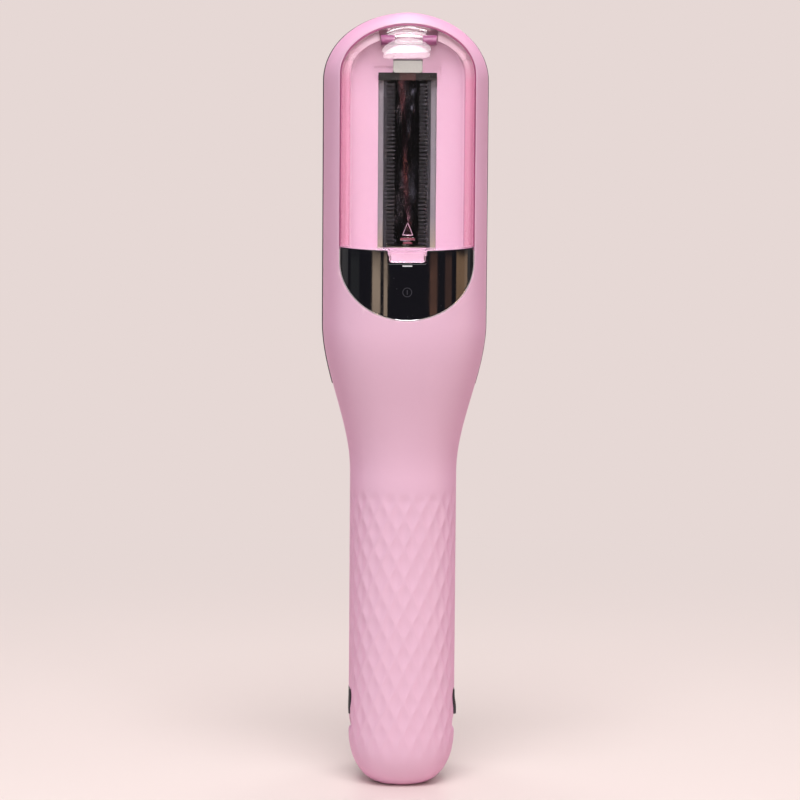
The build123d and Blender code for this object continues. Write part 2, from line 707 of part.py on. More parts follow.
with BuildPart() as panel_rim:
    add(button_skin & window_form(-fit, -40, -12))
    add(window_form(-fit - rim_width, -40, -12), mode=Mode.SUBTRACT)
    add(cut_above, mode=Mode.SUBTRACT)
pad_block = Pos(pad_side, floor_y - 5, pad_z) * Box(pad_size, 12, pad_size) & front_form(button_thickness + 0.25)
with BuildPart() as button_pads:
    add(split(pad_block, bisect_by=Plane.XZ.offset(-floor_y), keep=Keep.TOP))
    mirror(about=Plane.YZ)

# Clear chamber cover with its bottom tab, its hinge lug and pins.
cover_rise = window_rise - 0.6
with BuildPart() as cover_outline:
    a = window_half_width - cover_seam
    with BuildSketch(Plane.XZ.offset(-floor_y - 4)):
        with BuildLine():
            EllipticalCenterArc((0, window_spring), a, cover_rise, start_angle=0, arc_size=180)
            Line((-a, window_spring), (-a, cover_bottom + cover_edge_rise))
            ThreePointArc((-a, cover_bottom + cover_edge_rise), (0, cover_bottom), (a, cover_bottom + cover_edge_rise))
            Line((a, cover_bottom + cover_edge_rise), (a, window_spring))
        make_face()
    extrude(amount=28)
with BuildPart() as cover_hollow:
    a = window_half_width - cover_seam - cover_rim
    with BuildSketch(Plane.XZ.offset(-floor_y - 4)):
        with BuildLine():
            EllipticalCenterArc((0, window_spring), a, cover_rise - cover_rim, start_angle=0, arc_size=180)
            Polyline((-a, window_spring), (-a, cover_bottom + 3), (a, cover_bottom + 3), (a, window_spring))
        make_face()
    extrude(amount=28)
cover_skin = front_form(cover_wall)
hollow = cover_hollow.part & cover_skin
cover_block = outer & cover_outline.part
tab_block = (Pos(0, -head_depth + 1, cover_bottom - tab_length / 2 + 0.5)
             * Box(2 * tab_half_width, 8, tab_length + 1) & (outer - front_form(tab_thickness)))
room = hinge_room_half_width
with BuildPart() as chamber_cover:
    add(cover_block)
    add(hollow, mode=Mode.SUBTRACT)
    block((-room, room), (cover_hinge_y - 0.3, 0), (cover_hinge_z - 2.5, cover_hinge_z + 12), mode=Mode.SUBTRACT)
    block((-40, 40), (floor_y - 0.4, 0), (cover_bottom - 9, spring_height + 30), mode=Mode.SUBTRACT)
    block((-40, 40), (floor_y - 2.2, 0), (cover_hinge_z - 5, spring_height + 30), mode=Mode.SUBTRACT)
    rod_x(cover_lug_room, (-room, room), cover_hinge_y, cover_hinge_z, mode=Mode.SUBTRACT)
    rod_x(cover_lug_radius, (-cover_lug_half_width, cover_lug_half_width), cover_hinge_y, cover_hinge_z)
    block((-cover_lug_half_width, cover_lug_half_width), (cover_hinge_y - 2.6, cover_hinge_y),
          (cover_hinge_z - cover_lug_radius, cover_hinge_z + cover_lug_radius))
    pin_end = cover_lug_half_width + ear_width
    rod_x(cover_pin_radius, (-pin_end, pin_end), cover_hinge_y, cover_hinge_z)
    add(tab_block)

# Clamp arm with its lugs, spring seat and lock hook.
arm_outer = arm_form(0)
arm_inner = arm_form(arm_wall)
reach_angle = radians(clamp_angle)


def at_rest(y, z):
    """Where a point of the squeezed arm lies when the arm is at rest."""
    dy = y - hinge_y
    dz = z - hinge_z
    return (hinge_y + dy * cos(reach_angle) - dz * sin(reach_angle),
            hinge_z + dz * cos(reach_angle) + dy * sin(reach_angle))


hook_top = lock_bar_bottom - 1.0
hook_low = hook_top - hook_height
notch_front = lock_bar_front - running_gap
notch_back = lock_bar_front + lock_bar_thickness + running_gap
notch_low = lock_bar_bottom - lock_travel - running_gap
with BuildPart() as clamp_hook:
    with BuildSketch(Plane.YZ.offset(-hook_half_width)):
        with BuildLine():
            hook = [(13, hook_low), (notch_front - 1.2, hook_low), (notch_front - 2.4, hook_low + 2.0),
                    (notch_front - 2.4, hook_top - 1.6), (notch_front - 1.0, hook_top),
                    (notch_front, hook_top), (notch_front, notch_low), (notch_back, notch_low),
                    (notch_back, hook_top), (13, hook_top)]
            Polyline(*[at_rest(y, z) for y, z in hook], close=True)
        make_face()
    extrude(amount=2 * hook_half_width)
hook_inside = clamp_hook.part - (arm_form(-4) - arm_form(1.0))
lug_start = body_lug[1] + running_gap
spring_seat_y = arm_face_y(spring_z) + spring_seat_depth
with BuildPart() as arm_ribs:
    for side in (1, -1):
        lug = sorted((side * lug_start, side * (lug_start + arm_lug_length)))
        block(lug, (hinge_y, 20), (hinge_z - arm_lug_radius, hinge_z + arm_lug_radius))
    rod_y(spring_seat_radius, 0, (spring_seat_y, 22), spring_z)
ribs_inside = arm_ribs.part & arm_form(1.0)
with BuildPart() as clamp_arm:
    add(arm_outer)
    add(arm_inner, mode=Mode.SUBTRACT)
    add(ribs_inside)
    for side in (1, -1):
        lug = sorted((side * lug_start, side * (lug_start + arm_lug_length)))
        rod_x(arm_lug_radius, lug, hinge_y, hinge_z)
    add(hook_inside)
    rod_x(hinge_pin_radius + 0.05, (-15, 15), hinge_y, hinge_z, mode=Mode.SUBTRACT)

# Clamp plate and its rubber grip pads.
pad_span = (neck_top + 10, spring_height + 4.5)
with BuildPart() as clamp_plate:
    with BuildSketch(Plane.XZ.offset(-arm_face)):
        with BuildLine():
            steps = between(back_top + 2, neck_top, (0, 0.25, 0.55, 0.83, 1))
            right = [(front_sizes(z, 0)[0] - arm_margin + 0.2, z) for z in steps]
            a = head_half_width - arm_margin + 0.2
            Spline(right)
            Line(right[-1], (a, spring_height))
            EllipticalCenterArc((0, spring_height), a, dome_height - 0.2, start_angle=0, arc_size=180)
            Line((-a, spring_height), (-right[-1][0], right[-1][1]))
            Spline([(-x, z) for x, z in reversed(right)])
            Line((-right[0][0], right[0][1]), right[0])
        make_face()
    extrude(amount=clamp_plate_thickness)
    block((-clamp_pocket_half_width, clamp_pocket_half_width),
          (clamp_plate_front - 1, clamp_plate_front + clamp_pocket_depth), (slot_bottom - 3.2, slot_top + 2.9),
          mode=Mode.SUBTRACT)
    for side in (1, -1):
        block(sorted((side * grip_pad_span[0], side * grip_pad_span[1])),
              (clamp_plate_front - 1, clamp_plate_front + grip_pad_seat), pad_span,
              mode=Mode.SUBTRACT)


def grip_pad(side):
    with BuildPart() as made:
        block(sorted((side * (grip_pad_span[0] + fit), side * (grip_pad_span[1] - fit))),
              (comb_plate_back + running_gap, clamp_plate_front + grip_pad_seat),
              (pad_span[0] + fit, pad_span[1] - fit))
        fillet(made.edges().filter_by(Axis.Z).group_by(Axis.Y)[0], 0.3)
    return made


left_grip_pad = grip_pad(-1)
right_grip_pad = grip_pad(1)

# Hinge pin.
with BuildPart() as hinge_pin:
    rod_x(hinge_pin_radius, (-lug_start - arm_lug_length - 0.3, lug_start + arm_lug_length + 0.3), hinge_y, hinge_z)
    chamfer(hinge_pin.edges().filter_by(GeomType.CIRCLE), 0.3)

# Return spring between the handle back and the arm.
spring_low = handle_back + spring_wire / 2
spring_high = spring_seat_y - running_gap - spring_wire / 2
spring_height_free = spring_high - spring_low
with BuildPart() as return_spring:
    with BuildLine() as coil:
        Helix(spring_height_free / spring_turns, spring_height_free, spring_radius,
              center=(0, spring_low, spring_z), direction=(0, 1, 0))
    with BuildSketch(Plane(coil.line @ 0, z_dir=coil.line % 0)):
        Circle(spring_wire / 2)
    sweep(is_frenet=True)

# Handle lock: two thumb pads joined by a bar through the handle.
with BuildPart() as handle_lock:
    for side in (1, -1):
        pad = sorted((side * pad_inner_x, side * (handle_half_width + lock_proud)))
        block(pad, (lock_front, lock_back), (lock_bottom, lock_top))
    fillet(handle_lock.edges().filter_by(Axis.Y), 0.5)
    block((-pad_inner_x - 0.2, pad_inner_x + 0.2), (lock_bar_front, lock_bar_front + lock_bar_thickness),
          (lock_bar_bottom, lock_bar_bottom + lock_bar_height))

# Screws, all of one size.
with BuildPart() as housing_screws:
    for side in (1, -1):
        for x, z in plate_screws:
            rod_y(screw_radius, side * x, (plate_boss_front + 1.5, comb_plate_back - screw_head_height), z)
            rod_y(screw_head_radius, side * x, (comb_plate_back - screw_head_height, comb_plate_back - 0.1), z)
        for x, z in rear_screws:
            head = handle_back - wall - 0.2
            rod_y(screw_radius, side * x, (rear_boss_front + 1.6, head), z)
            rod_y(screw_head_radius, side * x, (head, head + screw_head_height - 0.1), z)

nodes = {
    "front_housing": front_housing, "rear_housing": rear_housing, "comb_plate": comb_plate,
    "cutter_frame": cutter_frame, "chamber_liner": chamber_liner, "left_comb": left_comb,
    "right_comb": right_comb, "top_bush": top_bush, "lower_bush": lower_bush, "cutter_drum": cutter_drum,
    "drum_shaft": drum_shaft, "drive_coupling": drive_coupling, "motor": motor, "motor_shaft": motor_shaft,
    "motor_bracket": motor_bracket, "motor_screws": motor_screws, "battery": battery,
    "battery_cradle": battery_cradle, "battery_contacts": battery_contacts, "charging_socket": charging_socket,
    "charging_board": charging_board, "control_board": control_board, "push_switch": push_switch,
    "power_button": power_button, "indicator_lens": indicator_lens, "panel_rim": panel_rim,
    "button_pads": button_pads, "chamber_cover": chamber_cover, "clamp_arm": clamp_arm,
    "clamp_plate": clamp_plate, "left_grip_pad": left_grip_pad, "right_grip_pad": right_grip_pad,
    "hinge_pin": hinge_pin, "return_spring": return_spring, "handle_lock": handle_lock,
    "housing_screws": housing_screws,
}
for name, made in nodes.items():
    made.part.label = name
    export_step(made.part, f"parts/{name}.step")
    print(name, len(made.part.solids()), round(made.part.volume, 1), made.part.is_valid)
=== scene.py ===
# Split end hair trimmer, standing on its base. Sizes in the dictionaries are in millimetres,
# X across the face, -Y to the front, +Z up the handle.
import bpy
import json
import math
import numpy as np
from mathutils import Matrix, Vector

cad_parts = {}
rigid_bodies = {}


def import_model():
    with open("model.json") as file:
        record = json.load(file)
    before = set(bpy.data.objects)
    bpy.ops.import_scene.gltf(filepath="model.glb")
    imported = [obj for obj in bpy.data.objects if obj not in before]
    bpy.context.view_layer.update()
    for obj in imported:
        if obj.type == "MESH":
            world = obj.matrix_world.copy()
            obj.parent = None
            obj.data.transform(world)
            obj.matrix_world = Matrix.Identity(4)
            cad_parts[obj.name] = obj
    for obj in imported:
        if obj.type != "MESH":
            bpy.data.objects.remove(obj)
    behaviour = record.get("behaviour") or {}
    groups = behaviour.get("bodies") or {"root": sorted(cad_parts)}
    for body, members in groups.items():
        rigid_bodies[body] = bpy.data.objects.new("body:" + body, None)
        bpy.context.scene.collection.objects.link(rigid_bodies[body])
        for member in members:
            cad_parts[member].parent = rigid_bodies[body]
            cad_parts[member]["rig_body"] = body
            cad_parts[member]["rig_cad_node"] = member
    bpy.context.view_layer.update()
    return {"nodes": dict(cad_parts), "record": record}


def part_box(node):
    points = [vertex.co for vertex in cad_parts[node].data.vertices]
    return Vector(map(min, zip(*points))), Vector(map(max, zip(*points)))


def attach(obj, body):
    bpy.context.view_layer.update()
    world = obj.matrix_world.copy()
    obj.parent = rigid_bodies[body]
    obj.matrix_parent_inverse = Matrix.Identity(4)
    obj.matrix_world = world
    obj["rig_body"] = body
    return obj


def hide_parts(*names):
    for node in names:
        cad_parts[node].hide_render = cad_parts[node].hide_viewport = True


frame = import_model()
nodes = frame["nodes"]
mm = 0.001
print("frame loaded:", len(nodes), "nodes")


# Tools used for every piece.
def linear(hexTone):
    # A web colour as the linear colour that nodes hold.
    tones = [int(hexTone[i:i + 2], 16) / 255 for i in (1, 3, 5)]
    return tuple(t / 12.92 if t <= 0.04045 else ((t + 0.055) / 1.055) ** 2.4 for t in tones) + (1.0,)


def clearSelection():
    bpy.ops.object.select_all(action="DESELECT")


def pick(piece):
    clearSelection()
    piece.select_set(True)
    bpy.context.view_layer.objects.active = piece


def newest(name):
    piece = bpy.context.active_object
    piece.name = name
    piece.data.name = name
    return piece


def applyPlace(piece):
    pick(piece)
    bpy.ops.object.transform_apply(location=True, rotation=True, scale=True)


def finishWith(piece, kind, **settings):
    pick(piece)
    modifier = piece.modifiers.new(kind.lower(), kind)
    for key, value in settings.items():
        setattr(modifier, key, value)
    bpy.ops.object.modifier_apply(modifier=modifier.name)


def cutWith(piece, cutter, operation="DIFFERENCE", solver="EXACT"):
    finishWith(piece, "BOOLEAN", operation=operation, solver=solver, object=cutter)
    bpy.data.objects.remove(cutter)


def joinPieces(pieces, name):
    clearSelection()
    for piece in pieces:
        piece.select_set(True)
    bpy.context.view_layer.objects.active = pieces[0]
    bpy.ops.object.join()
    return newest(name)


def smoothByAngle(piece, degrees=40):
    pick(piece)
    bpy.ops.object.shade_smooth_by_angle(angle=math.radians(degrees))


def outwardNormals(piece, gap):
    pick(piece)
    bpy.ops.object.mode_set(mode="EDIT")
    bpy.ops.mesh.select_all(action="SELECT")
    bpy.ops.mesh.remove_doubles(threshold=gap)
    bpy.ops.mesh.normals_make_consistent(inside=False)
    bpy.ops.object.mode_set(mode="OBJECT")


def dress(piece, material):
    piece.data.materials.clear()
    piece.data.materials.append(material)


def boxBetween(name, low, high, edge=0.0, segments=3, only=None):
    # A box between two corners, with its edges rounded, or only those along one axis.
    clearSelection()
    middle = [(a + b) / 2 * mm for a, b in zip(low, high)]
    size = [(b - a) * mm for a, b in zip(low, high)]
    bpy.ops.mesh.primitive_cube_add(size=1, location=middle, scale=size)
    piece = newest(name)
    applyPlace(piece)
    if edge:
        bpy.ops.object.mode_set(mode="EDIT")
        bpy.ops.mesh.select_all(action="DESELECT")
        bpy.ops.object.mode_set(mode="OBJECT")
        for line in piece.data.edges:
            a, b = (piece.data.vertices[i].co for i in line.vertices)
            way = (b - a).normalized()
            line.select = only is None or abs(way[only]) > 0.9
        bpy.ops.object.mode_set(mode="EDIT")
        bpy.ops.mesh.select_mode(type="EDGE")
        bpy.ops.mesh.bevel(offset=edge * mm, segments=segments, affect="EDGES")
        bpy.ops.object.mode_set(mode="OBJECT")
    return piece


def sideBox(name, side, inner, outer, low, high, **edges):
    # A box on one side, between two distances from the middle. Low and high are Y and Z.
    x = sorted((side * inner, side * outer))
    return boxBetween(name, (x[0], *low), (x[1], *high), **edges)


def rodBetween(name, radius, length, centre, turned, vertices):
    clearSelection()
    bpy.ops.mesh.primitive_cylinder_add(vertices=vertices, radius=radius * mm, depth=length * mm,
                                        location=[c * mm for c in centre], rotation=turned)
    rod = newest(name)
    applyPlace(rod)
    return rod


# The outer form, the same one that the solids follow.
form = {
    "headHalfWidth": 26.4, "handleHalfWidth": 17.3,
    "headDepth": 27.0, "handleDepth": 18.5, "crownDepth": 14.0,
    "neckBottom": 102.5, "neckTop": 151.0,
    "domeStart": 228.8, "domeHeight": 21.7,
    "headFullness": 0.76, "handleFullness": 0.62,
    "baseRound": 16.0, "baseSide": 10.5, "baseFront": 8.0,
    "parting": -2.4, "wall": 2.2,
}


def neckRise(z):
    t = min(max((z - form["neckBottom"]) / (form["neckTop"] - form["neckBottom"]), 0), 1)
    return t * t * (3 - 2 * t)


def formSizes(z, inset=0.0):
    # Half width, depth and fullness of the section at a height.
    s = neckRise(z)
    width = form["handleHalfWidth"] + (form["headHalfWidth"] - form["handleHalfWidth"]) * s - inset
    depth = form["handleDepth"] + (form["headDepth"] - form["handleDepth"]) * s - inset
    if z < form["baseRound"]:
        r = 1 - math.sqrt(max(0, 1 - ((form["baseRound"] - z) / (form["baseRound"] - inset)) ** 2))
        width -= form["baseSide"] * r
        depth -= form["baseFront"] * r
    if z > form["domeStart"]:
        c = math.sqrt(max(0, 1 - ((z - form["domeStart"]) / (form["domeHeight"] - inset)) ** 2))
        width *= c
        crown = form["crownDepth"] - inset
        depth = crown + (depth - crown) * c ** 0.36
    fullness = form["handleFullness"] + (form["headFullness"] - form["handleFullness"]) * s
    return width, depth, fullness


def halfSection(z, inset=0.0, steps=160):
    # x, y and length along the right half of the section, from the parting line to the front.
    width, depth, k = formSizes(z, inset)
    parting = form["parting"]
    side = parting - k * (depth + parting)
    t = np.linspace(0, 1, steps)
    a, b, c, d = (1 - t) ** 3, 3 * (1 - t) ** 2 * t, 3 * (1 - t) * t * t, t ** 3
    x = a * width + b * width + c * k * width
    y = a * parting + b * side + (c + d) * -depth
    run = np.concatenate([[0], np.cumsum(np.hypot(np.diff(x), np.diff(y)))])
    return x, y, run


def faceY(x, z):
    # Where the front of the form is, above a point of the face.
    xs, ys, run = halfSection(z)
    return float(np.interp(abs(x), xs[::-1], ys[::-1]))


# Materials. What several of them share is a node group, built once.
def newGroup(name, inputs, outputs):
    group = bpy.data.node_groups.new(name, "ShaderNodeTree")
    for label, kind, value in inputs:
        socket = group.interface.new_socket(name=label, in_out="INPUT", socket_type=kind)
        socket.default_value = value
    for label, kind in outputs:
        group.interface.new_socket(name=label, in_out="OUTPUT", socket_type=kind)
    return group, group.nodes.new("NodeGroupInput").outputs, group.nodes.new("NodeGroupOutput").inputs


def wire(tree, pairs):
    for source, target in pairs:
        tree.links.new(source, target)


def noise(tree, place, scale, detail=2.0, roughness=0.5):
    texture = tree.nodes.new("ShaderNodeTexNoise")
    tree.links.new(place, texture.inputs["Vector"])
    for label, value in (("Scale", scale), ("Detail", detail), ("Roughness", roughness)):
        texture.inputs[label].default_value = value
    return texture


def maths(tree, operation, first, second=None):
    node = tree.nodes.new("ShaderNodeMath")
    node.operation = operation
    for socket, value in zip(node.inputs, (first, second)):
        if isinstance(value, (int, float)):
            socket.default_value = value
        elif value is not None:
            tree.links.new(value, socket)
    return node.outputs[0]


def scaled(tree, value, start, gain):
    # How far a value lies above start, times gain.
    return maths(tree, "MULTIPLY", maths(tree, "SUBTRACT", value, start), gain)


def within(tree, value, middle, half):
    # 1 where a value lies closer to the middle than half.
    away = maths(tree, "ABSOLUTE", maths(tree, "SUBTRACT", value, middle))
    return maths(tree, "LESS_THAN", away, half)


def mixTones(tree, factor, first, second):
    node = tree.nodes.new("ShaderNodeMix")
    node.data_type = "RGBA"
    for socket, value in ((node.inputs[0], factor), (node.inputs[6], first), (node.inputs[7], second)):
        if isinstance(value, (int, float, tuple)):
            socket.default_value = value
        else:
            tree.links.new(value, socket)
    return node.outputs[2]


def ramp(tree, value, start, stop, kind="LINEAR"):
    # 0 up to start and 1 from stop on.
    node = tree.nodes.new("ShaderNodeMapRange")
    node.interpolation_type = kind
    node.inputs["From Min"].default_value = start
    node.inputs["From Max"].default_value = stop
    tree.links.new(value, node.inputs["Value"])
    return node.outputs[0]


def axesOf(tree, place):
    parts = tree.nodes.new("ShaderNodeSeparateXYZ")
    tree.links.new(place, parts.inputs[0])
    return parts.outputs


# Fine moulded grain: a slow drift of tone, a fine bump and an uneven gloss.
colour, number, vector, white = "NodeSocketColor", "NodeSocketFloat", "NodeSocketVector", (1, 1, 1, 1)
grainLook = {"driftScale": 22, "driftFrom": 0.35, "driftGain": 1.3, "speckScale": 900,
             "speckGain": 0.35}
mouldedGrain, grainIn, grainOut = newGroup(
    "mouldedGrain",
    [("Place", vector, (0, 0, 0)), ("Tone", colour, white), ("Deep Tone", colour, white),
     ("Gloss", number, 0.4), ("Gloss Spread", number, 0.06), ("Grain Scale", number, 3000.0)],
    [("Tone", colour), ("Roughness", number), ("Height", number)])
drift = noise(mouldedGrain, grainIn["Place"], grainLook["driftScale"], 3).outputs[0]
speckle = noise(mouldedGrain, grainIn["Place"], grainLook["speckScale"], 3).outputs[0]
grain = noise(mouldedGrain, grainIn["Place"], 3000)
driftMask = scaled(mouldedGrain, drift, grainLook["driftFrom"], grainLook["driftGain"])
speckMask = maths(mouldedGrain, "MULTIPLY", speckle, grainLook["speckGain"])
toneMask = maths(mouldedGrain, "ADD", driftMask, speckMask)
uneven = scaled(mouldedGrain, speckle, 0.5, grainIn["Gloss Spread"])
wire(mouldedGrain, [
    (grainIn["Grain Scale"], grain.inputs["Scale"]), (grain.outputs[0], grainOut["Height"]),
    (mixTones(mouldedGrain, toneMask, grainIn["Tone"], grainIn["Deep Tone"]), grainOut["Tone"]),
    (maths(mouldedGrain, "ADD", uneven, grainIn["Gloss"]), grainOut["Roughness"])])

# Worn edges: lighter where the surface turns sharply outwards.
wearLook = {"patchScale": 260, "sharpFrom": 0.53, "sharpGain": 9.0}
edgeWear, wearIn, wearOut = newGroup(
    "edgeWear",
    [("Place", vector, (0, 0, 0)), ("Tone", colour, white), ("Worn Tone", colour, white),
     ("Amount", number, 0.5)],
    [("Tone", colour)])
pointed = edgeWear.nodes.new("ShaderNodeNewGeometry").outputs["Pointiness"]
patches = noise(edgeWear, wearIn["Place"], wearLook["patchScale"], 4).outputs[0]
sharp = scaled(edgeWear, pointed, wearLook["sharpFrom"], wearLook["sharpGain"])
broken = maths(edgeWear, "MULTIPLY", maths(edgeWear, "MULTIPLY", sharp, patches), wearIn["Amount"])
held = maths(edgeWear, "MINIMUM", maths(edgeWear, "MAXIMUM", broken, 0.0), 1.0)
edgeWear.links.new(mixTones(edgeWear, held, wearIn["Tone"], wearIn["Worn Tone"]), wearOut["Tone"])

# Dust and wipe marks for glossy faces: raises the roughness in faint patches and specks.
dustLook = {"wipeScale": 60, "wipeFrom": 0.48, "speckScale": 420, "speckSize": 0.07}
faintDust, dustIn, dustOut = newGroup(
    "faintDust",
    [("Place", vector, (0, 0, 0)), ("Gloss", number, 0.05), ("Wipe", number, 0.1),
     ("Specks", number, 0.3)],
    [("Roughness", number), ("Mask", number)])
wipe = noise(faintDust, dustIn["Place"], dustLook["wipeScale"], 4, 0.6).outputs[0]
dots = faintDust.nodes.new("ShaderNodeTexVoronoi")
dots.inputs["Scale"].default_value = dustLook["speckScale"]
faintDust.links.new(dustIn["Place"], dots.inputs["Vector"])
smeared = maths(faintDust, "MAXIMUM", maths(faintDust, "SUBTRACT", wipe, dustLook["wipeFrom"]), 0.0)
wiped = maths(faintDust, "MULTIPLY", smeared, dustIn["Wipe"])
onDot = maths(faintDust, "LESS_THAN", dots.outputs["Distance"], dustLook["speckSize"])
specks = maths(faintDust, "MULTIPLY", onDot, dustIn["Specks"])
dulled = maths(faintDust, "ADD", maths(faintDust, "ADD", dustIn["Gloss"], wiped), specks)
wire(faintDust, [(dulled, dustOut["Roughness"]), (specks, dustOut["Mask"])])


def newMaterial(name, **plain):
    material = bpy.data.materials.new(name)
    material.use_nodes = True
    tree = material.node_tree
    shader = next(n for n in tree.nodes if n.type == "BSDF_PRINCIPLED")
    place = tree.nodes.new("ShaderNodeTexCoord").outputs["Object"]
    for label, value in plain.items():
        shader.inputs[label].default_value = value
    return material, tree, shader.inputs, place


def useGroup(tree, group, place, **values):
    node = tree.nodes.new("ShaderNodeGroup")
    node.node_tree = group
    tree.links.new(place, node.inputs["Place"])
    for label, value in values.items():
        socket = node.inputs[label.replace("_", " ")]
        if isinstance(value, (int, float, tuple)):
            socket.default_value = value
        else:
            tree.links.new(value, socket)
    return node.outputs


def bumpFrom(tree, shader, height, strength, distance):
    bump = tree.nodes.new("ShaderNodeBump")
    bump.inputs["Strength"].default_value = strength
    bump.inputs["Distance"].default_value = distance
    wire(tree, [(height, bump.inputs["Height"]), (bump.outputs[0], shader["Normal"])])


def grainOn(tree, shader, place, tone, deepTone, gloss, grainScale=3000.0, bump=0.25):
    # Lays the moulded grain on a material, and hands back its tone.
    grains = useGroup(tree, mouldedGrain, place, Tone=tone, Deep_Tone=deepTone, Gloss=gloss,
                      Grain_Scale=grainScale)
    tree.links.new(grains["Roughness"], shader["Roughness"])
    bumpFrom(tree, shader, grains["Height"], bump, 0.00003)
    return grains["Tone"]


def mouldedPlastic(name, tone, deepTone, gloss, grainScale=3000.0, bump=0.25, wornTone=None,
                   grazingShadeTone=None):
    material, tree, shader, place = newMaterial(name)
    last = grainOn(tree, shader, place, linear(tone), linear(deepTone), gloss, grainScale, bump)
    if wornTone:
        last = useGroup(tree, edgeWear, place, Tone=last, Worn_Tone=linear(wornTone))["Tone"]
    if grazingShadeTone:
        # Painted shade: the tone deepens where the surface turns away from the eye.
        facing = tree.nodes.new("ShaderNodeLayerWeight").outputs["Facing"]
        last = mixTones(tree, maths(tree, "POWER", facing, 1.6), last, linear(grazingShadeTone))
    tree.links.new(last, shader["Base Color"])
    return material


finishes = {
    # The pink shell's side tone is painted shade, deeper where it turns away from the eye.
    "pinkShell": {"tone": "#dcb4cb", "deepTone": "#d9afc7", "gloss": 0.42, "wornTone": "#ecd0dc",
                  "grazingShadeTone": "#e299c4"},
    # The seam ring's dark pink is painted shade.
    "seamShadePink": {"tone": "#a4507a", "deepTone": "#9a4971", "gloss": 0.6},
    # The bars' reddish tint is a painted reflection of the pink seen through the cover.
    "barRefractionPink": {"tone": "#8c4455", "deepTone": "#7c3b4b", "gloss": 0.35},
    "darkGrey": {"tone": "#232126", "deepTone": "#2c2a30", "gloss": 0.36, "wornTone": "#4a474f"},
    "whitePlastic": {"tone": "#b3b4b0", "deepTone": "#a8a8a3", "gloss": 0.38, "wornTone": "#f2f0ec"},
    "switchBlack": {"tone": "#17171a", "deepTone": "#202024", "gloss": 0.45},
    "softPad": {"tone": "#2b2a2e", "deepTone": "#333237", "gloss": 0.72, "grainScale": 5200.0,
                "bump": 0.4},
    "siliconePad": {"tone": "#dcdcda", "deepTone": "#cfcfcc", "gloss": 0.6},
    "cellWrap": {"tone": "#2f6aa8", "deepTone": "#285c93", "gloss": 0.3, "grainScale": 1500.0},
}
plastics = {name: mouldedPlastic(name, **values) for name, values in finishes.items()}
metalLook = {"stretch": 40.0, "lineScale": 120, "glossSpread": 0.14}


def windingMask(tree, place, reflectionStreak):
    # A mask that winds slowly round an upright axis.
    x, y, z = axesOf(tree, place)
    angle = maths(tree, "ARCTAN2", x, maths(tree, "SUBTRACT", reflectionStreak["axisY"] * mm, y))
    below = maths(tree, "SUBTRACT", reflectionStreak["startZ"] * mm, z)
    wound = maths(tree, "MULTIPLY", below, reflectionStreak["turnPerMm"] / mm)
    off = maths(tree, "SUBTRACT", maths(tree, "SUBTRACT", angle, reflectionStreak["start"]), wound)
    return ramp(tree, maths(tree, "ABSOLUTE", off), reflectionStreak["halfWidth"], reflectionStreak["core"])


def turnedMetal(name, tone, deepTone, gloss, along, bump=0.12, reflectionStreak=None):
    # Metal with fine lines along one axis.
    material, tree, shader, place = newMaterial(name, Metallic=1.0)
    mapping = tree.nodes.new("ShaderNodeMapping")
    stretched = [1.0 if i == along else metalLook["stretch"] for i in range(3)]
    mapping.inputs["Scale"].default_value = stretched
    tree.links.new(place, mapping.inputs["Vector"])
    lines = noise(tree, mapping.outputs[0], metalLook["lineScale"], 4, 0.6).outputs[0]
    base = mixTones(tree, lines, linear(tone), linear(deepTone))
    if reflectionStreak:
        base = mixTones(tree, windingMask(tree, place, reflectionStreak), base, linear(reflectionStreak["tone"]))
    spread = metalLook["glossSpread"]
    rough = maths(tree, "ADD", maths(tree, "MULTIPLY", lines, spread), gloss - spread / 2)
    wire(tree, [(base, shader["Base Color"]), (rough, shader["Roughness"])])
    bumpFrom(tree, shader, lines, bump, 0.00002)
    return material


combSteel = turnedMetal("combSteel", "#525056", "#38373c", 0.36, along=0)
plainSteel = turnedMetal("plainSteel", "#b9b8b5", "#a3a29f", 0.28, along=2)
silverRim = turnedMetal("silverRim", "#dcd9dc", "#c4c1c6", 0.14, along=1)
bronze = turnedMetal("bronze", "#8a6a45", "#74572f", 0.34, along=2)
# Dark steel of the cutter drum, with a painted reflection: a brownish streak of the pink chamber
# winding round it.
drumReflection = {"tone": "#50373e", "axisY": -9.3, "start": -0.38, "startZ": 219.6, "turnPerMm": 0.0144,
              "halfWidth": 0.34, "core": 0.1}
bladeSteel = turnedMetal("bladeSteel", "#37353c", "#26252b", 0.26, along=2, bump=0.04,
                         reflectionStreak=drumReflection)

# Glossy black of the half moon, with faint wipe marks, dust and the small ring over the switch.
panelMark = {"z": 162.5, "radius": 1.4, "line": 0.22, "barHalfHeight": 0.75, "barHalfWidth": 0.13,
             "tone": "#34333b", "roughness": 0.3}
glossBlack, tree, shader, place = newMaterial("glossBlack")
shader["Specular IOR Level"].default_value = 0.25
dust = useGroup(tree, faintDust, place, Gloss=0.035, Wipe=0.35, Specks=0.25)
x, _, z = axesOf(tree, place)
upFromMark = maths(tree, "SUBTRACT", z, panelMark["z"] * mm)
squares = maths(tree, "ADD", maths(tree, "MULTIPLY", upFromMark, upFromMark),
                maths(tree, "MULTIPLY", x, x))
reach = maths(tree, "SQRT", squares)
onRing = within(tree, reach, panelMark["radius"] * mm, panelMark["line"] / 2 * mm)
onBar = maths(tree, "MULTIPLY", within(tree, x, 0.0, panelMark["barHalfWidth"] * mm),
              within(tree, upFromMark, 0.0, panelMark["barHalfHeight"] * mm))
onMark = maths(tree, "MAXIMUM", onRing, onBar)
dusty = mixTones(tree, dust["Mask"], linear("#131318"), linear("#3c3b40"))
dullMark = maths(tree, "MULTIPLY", onMark, panelMark["roughness"])
wire(tree, [(mixTones(tree, onMark, dusty, linear(panelMark["tone"])), shader["Base Color"]),
            (maths(tree, "ADD", dust["Roughness"], dullMark), shader["Roughness"])])

# Painted light over the cover's arch:
archFrom = (229.0, 241.0)  # heights between which the rim's tone pales


